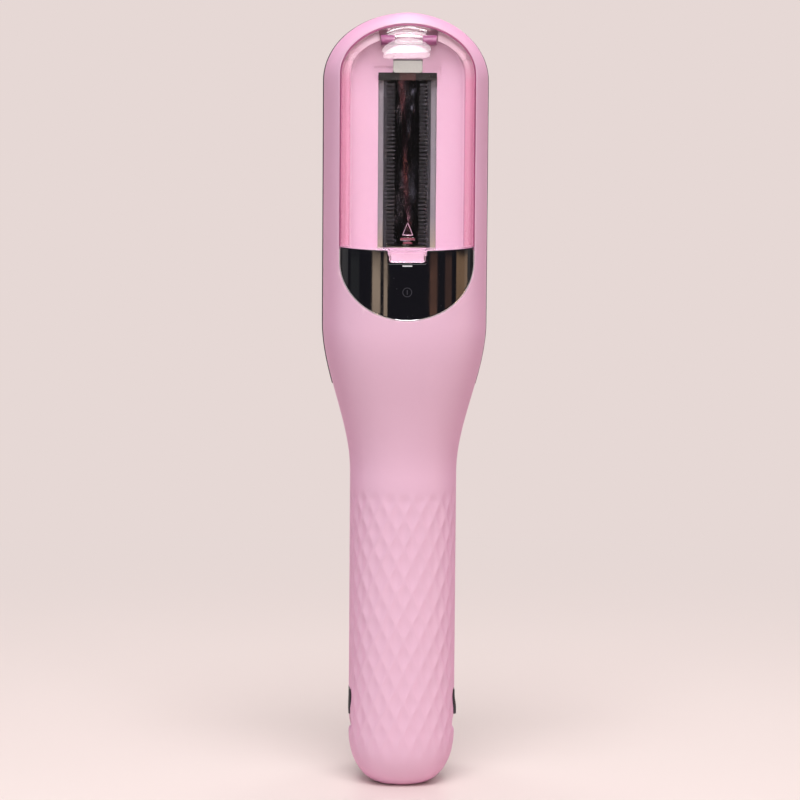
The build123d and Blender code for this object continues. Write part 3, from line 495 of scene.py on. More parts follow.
# Clear plastic of the chamber cover. Light passes on to the chamber behind it.
def clearPlastic(name, tone, wipedTone, ior, gloss, shade, clarity=1.0, archLightTone=None):
    material, tree, shader, place = newMaterial(name, Metallic=0.0, IOR=ior)
    shader["Transmission Weight"].default_value = clarity
    dust = useGroup(tree, faintDust, place, Gloss=gloss, Wipe=0.06, Specks=0.05)
    tint = mixTones(tree, maths(tree, "MULTIPLY", dust["Mask"], 0.5), linear(tone), linear(wipedTone))
    if archLightTone:
        # Painted light: the tint pales towards the top of the arch.
        paintedArchLight = ramp(tree, axesOf(tree, place)[2], archFrom[0] * mm, archFrom[1] * mm)
        tint = mixTones(tree, paintedArchLight, tint, linear(archLightTone))
    shadowRay = tree.nodes.new("ShaderNodeLightPath").outputs["Is Shadow Ray"]
    passed = maths(tree, "SUBTRACT", 1.0, maths(tree, "MULTIPLY", shadowRay, 1 - shade))
    wire(tree, [(tint, shader["Base Color"]), (dust["Roughness"], shader["Roughness"]),
                (passed, shader["Alpha"])])
    return material


clearCover = clearPlastic("clearCover", "#fffcfd", "#f1e3ea", ior=1.56, gloss=0.02, shade=0.06)
clearRim = clearPlastic("clearRim", "#e9adc8", "#ecbcd1", ior=1.12, gloss=0.06, shade=0.22,
                        clarity=0.72, archLightTone="#fbe4ee")

# Lit slit of the indicator.
clearLens, tree, shader, place = newMaterial("clearLens", Roughness=0.3)
lit = mixTones(tree, noise(tree, place, 900).outputs[0], linear("#ffffff"), linear("#dfe6ee"))
wire(tree, [(lit, shader["Base Color"]), (lit, shader["Emission Color"])])
shader["Emission Strength"].default_value = 0.25

# Cutter cartridge: pale side walls, a dark bar across the top, and a painted reflection that turns the
# walls warm towards the lower end.
cartridgeLook = {
    "wall": "#8f8891", "low": "#a99d8f", "bar": "#120c0d", "middle": "#3e1d1b", "deep": "#3b363b",
    "barFrom": 229.1, "lowFrom": 186.0, "lowFull": 176.0, "middleHalfWidth": 2.6, "plainShare": 0.85,
}
cartridge, tree, shader, place = newMaterial("cartridge")
x, _, z = axesOf(tree, place)
# Painted reflection: warm beige on the walls towards the lower end.
lowReflectionMask = ramp(tree, z, cartridgeLook["lowFrom"] * mm, cartridgeLook["lowFull"] * mm)
wallTone = mixTones(tree, lowReflectionMask, linear(cartridgeLook["wall"]), linear(cartridgeLook["low"]))
barTone = mixTones(tree, within(tree, x, 0.0, cartridgeLook["middleHalfWidth"] * mm),
                   linear(cartridgeLook["bar"]), linear(cartridgeLook["middle"]))
onBar = maths(tree, "GREATER_THAN", z, cartridgeLook["barFrom"] * mm)
plainTone = mixTones(tree, onBar, wallTone, barTone)
grainTone = grainOn(tree, shader, place, plainTone, linear(cartridgeLook["deep"]), gloss=0.34)
tree.links.new(mixTones(tree, cartridgeLook["plainShare"], grainTone, plainTone), shader["Base Color"])

# Chamber floor, with painted shade on the hinge ears: a deeper pink where they lie under the front.
linerLook = {"tone": "#cba3bb", "deep": "#c69eb5", "ear": "#94527a", "earFront": -17.6,
             "earLow": 238.5}
linerPink, tree, shader, place = newMaterial("linerPink")
_, y, z = axesOf(tree, place)
earShadeMask = maths(tree, "MULTIPLY", maths(tree, "LESS_THAN", y, linerLook["earFront"] * mm),
              maths(tree, "GREATER_THAN", z, linerLook["earLow"] * mm))
grainTone = grainOn(tree, shader, place, linear(linerLook["tone"]), linear(linerLook["deep"]),
                    gloss=0.3, grainScale=1800.0, bump=0.12)
tree.links.new(mixTones(tree, earShadeMask, grainTone, linear(linerLook["ear"])), shader["Base Color"])

# The top bush, with painted shade along its upper edge, where the gap over it lies in shadow.
bushLook = {"tone": "#b9bab5", "deep": "#9c9d98", "gap": "#4b474a", "gapShadeHeight": 0.45}
bushWhite, tree, shader, place = newMaterial("bushWhite")
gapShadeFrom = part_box("top_bush")[1][2] - bushLook["gapShadeHeight"] * mm
gapShadeMask = maths(tree, "GREATER_THAN", axesOf(tree, place)[2], gapShadeFrom)
grainTone = grainOn(tree, shader, place, linear(bushLook["tone"]), linear(bushLook["deep"]),
                    gloss=0.4)
tree.links.new(mixTones(tree, gapShadeMask, grainTone, linear(bushLook["gap"])), shader["Base Color"])

# Circuit boards.
boardTones = {"Color1": "#1d5a3a", "Color2": "#236844", "Mortar": "#2f7d54"}
boardGreen, tree, shader, place = newMaterial("boardGreen", Roughness=0.4)
tracks = tree.nodes.new("ShaderNodeTexBrick")
tracks.inputs["Scale"].default_value = 420
for label, tone in boardTones.items():
    tracks.inputs[label].default_value = linear(tone)
wire(tree, [(place, tracks.inputs["Vector"]), (tracks.outputs["Color"], shader["Base Color"])])

slotMaterials = {
    "pink_shell": plastics["pinkShell"], "dark_grey": plastics["darkGrey"],
    "cell": plastics["cellWrap"],
    "white_plastic": plastics["whitePlastic"], "switch_black": plastics["switchBlack"],
    "soft_pad": plastics["softPad"], "white_silicone": plastics["siliconePad"],
    "clear_cover": clearCover, "clear_lens": clearLens, "black_gloss": glossBlack, "board": boardGreen,
    "silver_rim": silverRim, "blade_steel": bladeSteel, "steel": plainSteel, "bronze": bronze,
}
ownMaterials = {
    "top_bush": bushWhite, "left_comb": combSteel, "right_comb": combSteel, "cutter_frame": cartridge,
    "chamber_liner": linerPink,
}
for part in frame["record"]["subparts"]:
    material = ownMaterials.get(part["node"]) or slotMaterials[part["material_slot"]]
    for slot in nodes[part["node"]].material_slots:
        slot.material = material
print("materials on the solids:", len(slotMaterials) + len(set(ownMaterials.values())))


# Shapes that follow the outer form.
def gridThrough(name, rows, capped=False):
    # A grid whose vertices are laid on rows of points, its seam closed, its ends filled if capped.
    clearSelection()
    across, up = len(rows[0]) - 1, len(rows) - 1
    bpy.ops.mesh.primitive_grid_add(x_subdivisions=across, y_subdivisions=up, size=1)
    piece = newest(name)
    spots = np.array([v.co for v in piece.data.vertices])
    column = np.rint((spots[:, 0] + 0.5) * across).astype(int)
    row = np.rint((spots[:, 1] + 0.5) * up).astype(int)
    placed = np.array(rows, dtype=float)[row, column] * mm
    piece.data.vertices.foreach_set("co", placed.astype(np.float32).ravel())
    piece.data.update()
    bpy.ops.object.mode_set(mode="EDIT")
    bpy.ops.mesh.select_all(action="SELECT")
    bpy.ops.mesh.remove_doubles(threshold=0.000004)
    if capped:
        bpy.ops.mesh.fill_holes(sides=0)
    bpy.ops.mesh.normals_make_consistent(inside=False)
    bpy.ops.object.mode_set(mode="OBJECT")
    return piece


def closedLoops(loops):
    return [list(loop) + [loop[0]] for loop in loops]


grip = {
    "pitchAround": 5.0, "pitchUp": 10.2, "firstCentre": 84.4, "depth": 0.42, "softness": 0.85,
    "top": 98.5, "topFade": 5.0, "bottom": 8.0, "bottomFade": 7.0, "sideFade": 2.5, "sideGap": 0.3,
}


def softStep(value, low, high):
    t = np.clip((value - low) / (high - low), 0, 1)
    return t * t * (3 - 2 * t)


def gripDepth(around, z, half):
    # How deep the diamond dimples are, a distance round from the front and up the handle.
    a = around / grip["pitchAround"] + (z - grip["firstCentre"]) / grip["pitchUp"]
    b = around / grip["pitchAround"] - (z - grip["firstCentre"]) / grip["pitchUp"]
    dimple = (np.abs(np.cos(math.pi * a)) * np.abs(np.cos(math.pi * b))) ** grip["softness"]
    fade = 1 - softStep(z, grip["top"] - grip["topFade"], grip["top"])
    fade = fade * softStep(z, grip["bottom"], grip["bottom"] + grip["bottomFade"])
    fade = fade * (1 - softStep(np.abs(around), half - grip["sideFade"], half - grip["sideGap"]))
    return grip["depth"] * dimple * fade


def formRow(z, columns, inset=0.0, share=1.0, dimpled=False):
    # One row of points round the front of the form, drawn in towards the parting line by share.
    xs, ys, run = halfSection(z, inset)
    half = run[-1]
    around = np.linspace(-half, half, columns + 1)
    length = half - np.abs(around)
    x, y = np.interp(length, run, xs), np.interp(length, run, ys)
    if dimpled and grip["bottom"] < z < grip["top"]:
        slopeX = np.interp(length, run, np.gradient(xs, run))
        slopeY = np.interp(length, run, np.gradient(ys, run))
        depth = gripDepth(around, z, half)
        x, y = x + slopeY * depth, y - slopeX * depth
    x = x * np.sign(around) * share
    y = form["parting"] + (y - form["parting"]) * share
    return np.stack([x, y, np.full_like(x, z)], axis=1)


def doubleSkin(outerRows, innerRows):
    # Each row goes round the outer skin and back along the inner one.
    return [np.vstack([outer, inner[::-1], outer[:1]]) for outer, inner in zip(outerRows, innerRows)]


window = {
    "halfWidth": 21.55, "archFrom": 231.0, "archRise": 15.9, "lowFrom": 171.8, "lowDrop": 18.5,
    "collar": 1.4, "collarBack": -15.4, "collarOuterTop": 1.7, "collarInnerTop": 1.9,
    "fit": 0.02, "edge": 0.35,
}


def archPoints(a, rise, steps=72):
    # Over the arch from right to left, as x and z.
    return [(a * math.cos(t), window["archFrom"] + rise * math.sin(t))
            for t in np.linspace(0, math.pi, steps)]


def bowlPoints(a, drop, steps=72):
    # Round under the half moon from left to right.
    return [(a * math.cos(t), window["lowFrom"] + drop * math.sin(t))
            for t in np.linspace(math.pi, 2 * math.pi, steps)]


def upright(x, start, end, steps=24):
    return [(x, z) for z in np.linspace(start, end, steps)]


def mirrored(points):
    # The same run of points on the other side, walked back.
    return [(-x, z) for x, z in reversed(points)]


def capsule(margin):
    # The window's outline, grown by margin.
    a, top, low = window["halfWidth"] + margin, window["archFrom"], window["lowFrom"]
    return (archPoints(a, window["archRise"] + margin) + upright(-a, top, low)[1:-1]
            + bowlPoints(a, window["lowDrop"] + margin) + upright(a, low, top)[1:-1])


def growOutline(points, amount):
    # Moves a closed outline outwards, corners kept sharp.
    spots = np.array(points)
    ahead = np.roll(spots, -1, axis=0) - spots
    ahead /= np.linalg.norm(ahead, axis=1)[:, None]
    behind = np.roll(ahead, 1, axis=0)
    away = np.stack([ahead[:, 1], -ahead[:, 0]], axis=1)
    side = away + np.stack([behind[:, 1], -behind[:, 0]], axis=1)
    side /= np.linalg.norm(side, axis=1)[:, None]
    spread = np.maximum((side * away).sum(axis=1), 0.35)
    coming = np.roll(spots, -1, axis=0)
    turnsLeft = (spots[:, 0] * coming[:, 1] - coming[:, 0] * spots[:, 1]).sum() > 0
    return spots + side * (amount / spread)[:, None] * (1 if turnsLeft else -1)


def roundCorner(corner, before, after, radius, steps=6):
    # Points that round one corner of an outline.
    corner, before, after = (np.array(p, dtype=float) for p in (corner, before, after))
    into, out = before - corner, after - corner
    into, out = into / np.linalg.norm(into), out / np.linalg.norm(out)
    start, end = corner + into * radius, corner + out * radius
    return [tuple((1 - t) ** 2 * start + 2 * t * (1 - t) * corner + t * t * end)
            for t in np.linspace(0, 1, steps)]


def roundedOutline(corners, radius, steps):
    outline = []
    for i, corner in enumerate(corners):
        outline += roundCorner(corner, corners[i - 1], corners[(i + 1) % len(corners)], radius, steps)
    return outline


# Cutters along Y start in front of every piece, and end behind the skin that they cut.
cutter = {"front": -40.0, "slabBack": -8.0, "wallBack": -10.0, "side": 20.0}


def followingPrism(name, outline, back, edge=0.0, grows=False, steps=4):
    # A prism along Y on an outline, whose edge is rounded where it meets the outer form.
    # The rounding opens outwards for a cutter, and inwards for the own outline of a piece.
    way = 1 if grows else -1
    loops = [[(x, back, z) for x, z in outline]]
    for angle in np.linspace(0, 78, steps) if edge else ():
        grown = growOutline(outline, way * edge * (1 - math.cos(math.radians(angle))))
        sunk = edge * (1 - math.sin(math.radians(angle)))
        loops.append([(x, faceY(x, z) + sunk, z) for x, z in grown])
    loops.append([(x, cutter["front"], z) for x, y, z in loops[-1]])
    return gridThrough(name, closedLoops(loops), capped=True)


# Front housing: the dimpled skin, the window, the lock recesses and the opening for the plug.
shell = {
    "columns": 104, "innerColumns": 26, "baseRows": 16, "domeRows": 30,
    "handleStep": 0.65, "headStep": 1.35,
    "plugLow": (-4.52, -7.15, -1.0), "plugHigh": (4.52, -3.85, 4.0), "plugRound": 1.6,
}
# What is cut out at each side: how far in, two corners as Y and Z, and the rounding.
sideCuts = {
    "recessCutter": (16.15, (-6.2, 17.3), (6.2, 31.1), 0.8),
    "slotCutter": (11.0, (-3.2, 21.3), (5.0, 30.7), 0.5),
}


def formRows(columns, inset=0.0, dimpled=False):
    # Rows up the whole form, from its closed base to its closed crown.
    base, neck, dome = form["baseRound"], form["neckBottom"], form["domeStart"]
    heights = [base - (base - inset) * math.sin(math.radians(a))
               for a in np.linspace(90, 6, shell["baseRows"])]
    heights += list(np.arange(base, neck, shell["handleStep"]))
    heights += list(np.linspace(neck, dome, int((dome - neck) / shell["headStep"])))
    heights += [dome + (form["domeHeight"] - inset) * math.sin(math.radians(a))
                for a in np.linspace(4, 87.5, shell["domeRows"])]
    rows = [formRow(heights[0], columns, inset, share) for share in (0, 0.4, 0.75)]
    rows += [formRow(z, columns, inset, dimpled=dimpled) for z in heights]
    return rows + [formRow(heights[-1], columns, inset, share) for share in (0.5, 0)]


frontShell = gridThrough("frontShell", doubleSkin(formRows(shell["columns"], dimpled=True),
                                                  formRows(shell["innerColumns"], form["wall"])))
cutWith(frontShell, followingPrism("windowCutter", capsule(0.0), cutter["wallBack"],
                                   window["edge"], grows=True))
for side in (1, -1):
    for name, (inner, low, high, edge) in sideCuts.items():
        sideCutter = sideBox(name, side, inner, cutter["side"], low, high, edge=edge, only=0)
        cutWith(frontShell, sideCutter)
cutWith(frontShell, boxBetween("plugCutter", shell["plugLow"], shell["plugHigh"],
                               edge=shell["plugRound"], segments=6, only=2))


def copyNode(node, name):
    # A copy of a solid's mesh as an own piece, its loose triangles merged.
    copy = nodes[node].copy()
    copy.data = nodes[node].data.copy()
    copy.parent = None
    bpy.context.collection.objects.link(copy)
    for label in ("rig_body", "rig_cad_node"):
        if label in copy:
            del copy[label]
    pick(copy)
    copy = newest(name)
    outwardNormals(copy, 0.000002)
    return copy


# A finger dish at each side, across both housings.
scallop = {"x": 18.25, "y": -1.9, "z": 19.7, "radii": (2.25, 9.4, 3.2),
           "handleTop": 40.0, "widest": 17.6}
rearShell = copyNode("rear_housing", "rearShell")
for shellHalf in (frontShell, rearShell):
    smoothByAngle(shellHalf)
for side, shellHalf in ((1, frontShell), (-1, frontShell), (1, rearShell), (-1, rearShell)):
    clearSelection()
    centre = [side * scallop["x"] * mm, scallop["y"] * mm, scallop["z"] * mm]
    bpy.ops.mesh.primitive_uv_sphere_add(segments=48, ring_count=24, radius=mm, location=centre,
                                         scale=scallop["radii"])
    dish = newest("fingerDish")
    applyPlace(dish)
    uncut = shellHalf.data.copy()
    # The rear shell's mesh has hairline gaps, so its cuts use the fast solver.
    cutWith(shellHalf, dish, solver="FAST" if shellHalf is rearShell else "EXACT")
    # A cut that leaves the dish standing out of the handle is taken back.
    handleSpots = [spot.co for spot in shellHalf.data.vertices
                   if spot.co.z < scallop["handleTop"] * mm]
    if max(abs(spot.x) for spot in handleSpots) > scallop["widest"] * mm:
        print("finger dish taken back on", shellHalf.name)
        shellHalf.data = uncut
dress(rearShell, plastics["pinkShell"])
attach(rearShell, "body")
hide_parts("rear_housing")
print("housings:", len(frontShell.data.polygons), "and", len(rearShell.data.polygons), "faces")

# The collar inside the window, which the chamber floor and the cover stand in.
collarSection = ((window["fit"], window["collarOuterTop"]), (window["fit"], None),
                 (window["collar"], None), (window["collar"], window["collarInnerTop"]),
                 (window["fit"], window["collarOuterTop"]))
windowCollar = gridThrough("windowCollar", closedLoops(
    [(x, window["collarBack"] if depth is None else faceY(x, z) + depth, z)
     for x, z in capsule(margin)]
    for margin, depth in collarSection))
smoothByAngle(windowCollar)
for piece in (frontShell, windowCollar):
    dress(piece, plastics["pinkShell"])
    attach(piece, "body")
    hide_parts("front_housing")
print("window collar done")

# Painted shade: a dark pink ring set in the seam round the cover stands in for the shadow in the gap.
seamShade = {"outer": -0.02, "inner": -0.46, "top": 0.25, "bottom": 1.85, "low": 176.8}


def archLoop(margin, depth):
    a, top = window["halfWidth"] + margin, window["archFrom"]
    points = upright(a, seamShade["low"], top)[:-1] + archPoints(a, window["archRise"] + margin)
    points += upright(-a, top, seamShade["low"])[1:]
    return [(x, faceY(x, z) + depth, z) for x, z in points]


seamShadeSection = [(seamShade["outer"], seamShade["top"]), (seamShade["inner"], seamShade["top"]),
               (seamShade["inner"], seamShade["bottom"]), (seamShade["outer"], seamShade["bottom"])]
seamShadeLoops = [archLoop(*spot) for spot in seamShadeSection + seamShadeSection[:1]]
seamShadeRing = gridThrough("seamShadeRing", seamShadeLoops, capped=True)
smoothByAngle(seamShadeRing)
dress(seamShadeRing, plastics["seamShadePink"])
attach(seamShadeRing, "body")

# The half moon under the cover, with a notch for the tab and a slit for the lit indicator.
panel = {
    "gap": 0.4, "top": 175.6, "topRise": 0.75, "notchHalfWidth": 6.15, "notchLow": 171.5,
    "cornerRound": 0.8,
    "thickness": 1.6, "edge": 0.22, "slabLow": 150.0, "slabTop": 180.0,
    "slitLow": (-1.6, -40.0, 170.6), "slitHigh": (1.6, -20.0, 171.05), "slitRound": 0.12,
    "lensLow": (-1.56, -26.9, 170.63), "lensHigh": (1.56, -25.5, 171.02),
    "post": (0.0, -24.75, 162.5), "postRadius": 2.0, "postLength": 1.9,
}


def edgeHeight(x, low):
    # The slightly curved seam between cover and panel.
    return low + panel["topRise"] * (x / window["halfWidth"]) ** 2


def panelOutline():
    a = window["halfWidth"] - panel["gap"] - window["fit"]
    n, low, top, r = panel["notchHalfWidth"], panel["notchLow"], panel["top"], panel["cornerRound"]
    right = [(x, edgeHeight(x, top)) for x in np.linspace(a, n + r * 1.2, 10)]
    right += roundCorner((n, edgeHeight(n, top)), (n + 3, edgeHeight(n + 3, top)), (n, low), r)
    right += roundCorner((n, low), (n, top), (-n, low), r)
    points = right + mirrored(right) + upright(-a, top, window["lowFrom"], 4)[1:-1]
    points += bowlPoints(a, window["lowDrop"] - panel["gap"])
    return points + upright(a, window["lowFrom"], top, 4)[1:-1]


def formSlab(name, lowZ, topZ, thickness, columns=104, step=0.7):
    # A slab of the front skin between two heights.
    heights = list(np.arange(lowZ, topZ, step)) + [topZ]
    rows = doubleSkin([formRow(z, columns) for z in heights],
                      [formRow(z, columns, thickness) for z in heights])
    return gridThrough(name, rows, capped=True)


glossPanel = formSlab("glossPanel", panel["slabLow"], panel["slabTop"], panel["thickness"])
panelShape = followingPrism("panelShape", panelOutline(), cutter["slabBack"], panel["edge"])
cutWith(glossPanel, panelShape, "INTERSECT")
cutWith(glossPanel, boxBetween("slitCutter", panel["slitLow"], panel["slitHigh"],
                               edge=panel["slitRound"], segments=2, only=1))
buttonPost = rodBetween("buttonPost", panel["postRadius"], panel["postLength"], panel["post"],
                        turned=(math.pi / 2, 0, 0), vertices=48)
smoothByAngle(glossPanel)
smoothByAngle(buttonPost)
for piece in (glossPanel, buttonPost):
    dress(piece, glossBlack)
    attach(piece, "button")
    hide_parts("power_button")
litSlit = boxBetween("litSlit", panel["lensLow"], panel["lensHigh"], edge=panel["slitRound"])
smoothByAngle(litSlit, 50)
dress(litSlit, clearLens)
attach(litSlit, "button")
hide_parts("indicator_lens")
print("half moon panel:", len(glossPanel.data.polygons), "faces")

# Thin bright rim between the half moon and the window's edge.
rim = {"outer": -0.03, "inner": -0.4, "round": 0.07, "shoulder": 0.12, "bottom": 1.6, "top": 175.7}
rimSection = [(rim["inner"], rim["bottom"]), (rim["inner"], rim["shoulder"]),
              (rim["inner"] + rim["round"], 0.0), (rim["outer"] - rim["round"], 0.0),
              (rim["outer"], rim["shoulder"]), (rim["outer"], rim["bottom"])]
rimLoops = []
for margin, depth in rimSection + rimSection[:1]:
    a = window["halfWidth"] + margin
    path = upright(a, rim["top"], window["lowFrom"], 5)[:-1]
    path += mirrored(bowlPoints(-a, window["lowDrop"] + margin, 90)) + mirrored(path)
    rimLoops.append([(x, faceY(x, z) + depth, z) for x, z in path])
brightRim = gridThrough("brightRim", rimLoops, capped=True)
smoothByAngle(brightRim, 60)
dress(brightRim, silverRim)
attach(brightRim, "body")
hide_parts("panel_rim")

# Clear cover: the front plate with its tab, the thick rim behind it and the hinge lug.
cover = {
    "halfWidth": 21.04, "archRise": 15.25, "low": 176.0, "wall": 1.9, "edge": 0.35, "cornerRound": 0.6,
    "slabLow": 170.0, "slabTop": 247.5,
    "tabHalfWidth": 5.75, "tabLow": 171.9, "tabRound": 1.1,
    "rim": 3.2, "rimGap": 0.03, "rimLow": 177.0, "back": -17.4, "blockLow": 174.0, "blockTop": 246.5,
    "hinge": (0.0, -22.8, 241.6), "lugHalfWidth": 4.1, "lugRadius": 1.5,
    "pinEnd": 8.3, "pinRadius": 0.8, "rootLow": (-4.1, -24.4, 240.9), "rootHigh": (4.1, -22.8, 242.3),
}
# Room for the hinge ears, over the strip of rim above them, and for the chamber behind it:
# half width, front, low and top.
coverRooms = {
    "hingeRoom": (9.0, -23.1, 239.1, 244.4), "archRoom": (9.0, -22.0, 244.3, 253.0),
    "backRoom": (40.0, -19.2, 236.6, 253.0),
}
coverMark = {
    "sink": 0.4, "slope": 0.85, "lift": 0.02, "front": -30.0,
    "arrow": ((0.0, 184.8), (-1.75, 180.5), (1.75, 180.5)), "arrowRound": 0.35,
    "bars": ((2.35, 179.35, 0.75), (1.5, 178.1, 0.6)), "barRound": 0.15,
}


def coverOutline():
    a, n, low, r = cover["halfWidth"], cover["tabHalfWidth"], cover["tabLow"], cover["cornerRound"]

    def seam(x):
        return edgeHeight(x, cover["low"])

    left = upright(-a, window["archFrom"], seam(a) + 0.8, 16)[1:]
    left += roundCorner((-a, seam(a)), (-a, window["archFrom"]), (-a + 2, seam(a - 2)), r)
    left += [(x, seam(x)) for x in np.linspace(-a + 1.2, -n - 0.9, 10)]
    left += roundCorner((-n, seam(n)), (-n - 2, seam(n)), (-n, low), r)
    left += roundCorner((-n, low), (-n, low + 3), (n, low), cover["tabRound"])
    return archPoints(a, cover["archRise"]) + left + mirrored(left)


def pocketCutter(name, outline):
    # Cuts a shallow pocket with sloping sides into the cover's face.
    middle = np.mean(outline, axis=0)
    inner = middle + (np.array(outline) - middle) * coverMark["slope"]
    loops = [[(x, faceY(x, z) + coverMark["sink"], z) for x, z in inner],
             [(x, faceY(x, z) - coverMark["lift"], z) for x, z in outline],
             [(x, coverMark["front"], z) for x, z in outline]]
    return gridThrough(name, closedLoops(loops), capped=True)


coverPlate = formSlab("coverPlate", cover["slabLow"], cover["slabTop"], cover["wall"])
plateShape = followingPrism("plateShape", coverOutline(), cutter["slabBack"], cover["edge"],
                            steps=5)
cutWith(coverPlate, plateShape, "INTERSECT")
hinge, sideways = cover["hinge"], (0, math.pi / 2, 0)
coverLug = rodBetween("coverLug", cover["lugRadius"], 2 * cover["lugHalfWidth"], hinge, sideways, 40)
hingePins = rodBetween("hingePins", cover["pinRadius"], 2 * cover["pinEnd"], hinge, sideways, 40)
cutWith(coverLug, hingePins, "UNION")
cutWith(coverLug, boxBetween("lugRoot", cover["rootLow"], cover["rootHigh"]), "UNION")
arrow = roundedOutline(coverMark["arrow"], coverMark["arrowRound"], 4)
cutWith(coverPlate, pocketCutter("arrowCutter", arrow))
for half, z, high in coverMark["bars"]:
    top, low = z + high / 2, z - high / 2
    bar = roundedOutline(((half, top), (-half, top), (-half, low), (half, low)),
                         coverMark["barRound"], 3)
    cutWith(coverPlate, pocketCutter("barCutter", bar))
cutWith(coverPlate, coverLug, "UNION")
smoothByAngle(coverPlate, 30)


def formBlock(name, lowZ, topZ, inset, columns=104, step=0.8):
    # The whole front of the form between two heights, flat at the parting line.
    heights = list(np.arange(lowZ, topZ, step)) + [topZ]
    return gridThrough(name, closedLoops(formRow(z, columns, inset) for z in heights), capped=True)


def rimOutline(margin, low):
    a = cover["halfWidth"] - margin
    points = archPoints(a, cover["archRise"] - margin) + upright(-a, window["archFrom"], low, 14)[1:]
    return points + upright(a, low, window["archFrom"], 14)[:-1]


coverRim = formBlock("coverRim", cover["blockLow"], cover["blockTop"], cover["wall"] + cover["rimGap"])
rimShape = followingPrism("rimShape", rimOutline(0.0, cover["rimLow"]), cover["back"])
cutWith(coverRim, rimShape, "INTERSECT")
cavity = followingPrism("cavity", rimOutline(cover["rim"], cover["low"]), cutter["slabBack"])
cutWith(coverRim, cavity)
for name, (halfWidth, front, low, top) in coverRooms.items():
    cutWith(coverRim, boxBetween(name, (-halfWidth, front, low), (halfWidth, 0.0, top)))
smoothByAngle(coverRim, 30)
for piece, material in ((coverPlate, clearCover), (coverRim, clearRim)):
    dress(piece, material)
    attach(piece, "cover")
    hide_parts("chamber_cover")
# The floors of the two bars are tinted reddish: a painted reflection, standing in for the pink seen
# through the clear plastic.
coverPlate.data.materials.append(plastics["barRefractionPink"])
for face in coverPlate.data.polygons:
    x, y, z = face.center / mm
    onBar = any(abs(x) < half and abs(z - middle) < high / 2
                for half, middle, high in coverMark["bars"])
    if onBar and coverMark["sink"] / 2 < y - faceY(x, z) < coverMark["sink"] * 2:
        face.material_index = 1
print("clear cover:", len(coverPlate.data.polygons) + len(coverRim.data.polygons), "faces")

# Handle lock: a crossbar with a grooved, tapering pad at each end.
lock = {
    "inner": 16.45, "rightOuter": 17.85, "leftOuter": 17.5, "topOuter": 17.36,
    "front": -5.9, "back": 1.9, "low": 22.4, "top": 30.8,
    "taperFrom": 24.6, "taperTo": 29.0, "edge": 0.45,
    "barLow": (-16.65, -1.9, 26.4), "barHigh": (16.65, 0.1, 30.4), "barEdge": 0.3,
    "grooves": (23.6, 24.7, 25.8, 26.9), "grooveHalfHeight": 0.2, "grooveDepth": 0.3,
    "grooveMargin": 1.0, "grooveEdge": 0.12,
}
lockPieces = [boxBetween("lockBar", lock["barLow"], lock["barHigh"], edge=lock["barEdge"])]
for side, outer in ((1, lock["rightOuter"]), (-1, lock["leftOuter"])):
    pad = sideBox("lockPad", side, lock["inner"], outer, (lock["front"], lock["low"]),
                  (lock["back"], lock["top"]), edge=lock["edge"], segments=4)
    bpy.ops.object.mode_set(mode="EDIT")
    for height in np.linspace(lock["taperFrom"], lock["taperTo"], 6):
        bpy.ops.mesh.select_all(action="SELECT")
        bpy.ops.mesh.bisect(plane_co=(0, 0, height * mm), plane_no=(0, 0, 1))
    bpy.ops.object.mode_set(mode="OBJECT")
    for vertex in pad.data.vertices:
        share = float(softStep(vertex.co.z / mm, lock["taperFrom"] - 0.1, lock["taperTo"]))
        if abs(vertex.co.x) > (lock["inner"] + outer) / 2 * mm:
            vertex.co.x -= side * (outer - lock["topOuter"]) * share * mm
    for height in lock["grooves"]:
        cutWith(pad, sideBox("groove", side, outer - lock["grooveDepth"], outer + 1,
                             (lock["front"] + lock["grooveMargin"], height - lock["grooveHalfHeight"]),
                             (lock["back"] - lock["grooveMargin"], height + lock["grooveHalfHeight"]),
                             edge=lock["grooveEdge"], segments=2))
    lockPieces.append(pad)
sideLock = joinPieces(lockPieces, "sideLock")
smoothByAngle(sideLock)
dress(sideLock, plastics["darkGrey"])
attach(sideLock, "lock")
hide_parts("handle_lock")
print("side lock done")

# Camera, at the photograph's height and side.
view = {"distance": 1000.0, "eyeHeight": 235.0, "azimuth": 2.0, "aim": (-1.38, -8.0, 126.2),
        "lens": 139.9, "roll": 0.42}
aim = Vector(view["aim"]) * mm
turn = math.radians(view["azimuth"])
eye = aim + Vector((-math.sin(turn) * view["distance"], -math.cos(turn) * view["distance"],
                    view["eyeHeight"] - view["aim"][2])) * mm
bpy.ops.object.camera_add(location=eye, rotation=(aim - eye).to_track_quat("-Z", "Y").to_euler())
camera = newest("photoCamera")
camera.rotation_euler.rotate_axis("Z", math.radians(view["roll"]))
camera.data.lens = view["lens"]
camera.data.sensor_width = 36.0
camera.data.clip_start = 0.05
bpy.context.scene.camera = camera


def softLamp(name, place, size, power, target=(0, -0.01, 0.14), tone="#ffffff", shape="RECTANGLE",
             glossy=True, diffuse=True):
    start = Vector(place)
    bpy.ops.object.light_add(type="AREA", location=start,
                             rotation=(Vector(target) - start).to_track_quat("-Z", "Y").to_euler())
    lamp = bpy.context.active_object
    lamp.name = name
    lamp.data.shape = shape
    lamp.data.size, lamp.data.size_y = size
    lamp.data.energy = power
    lamp.data.color = linear(tone)[:3]
    lamp.visible_glossy = glossy
    lamp.visible_diffuse = diffuse


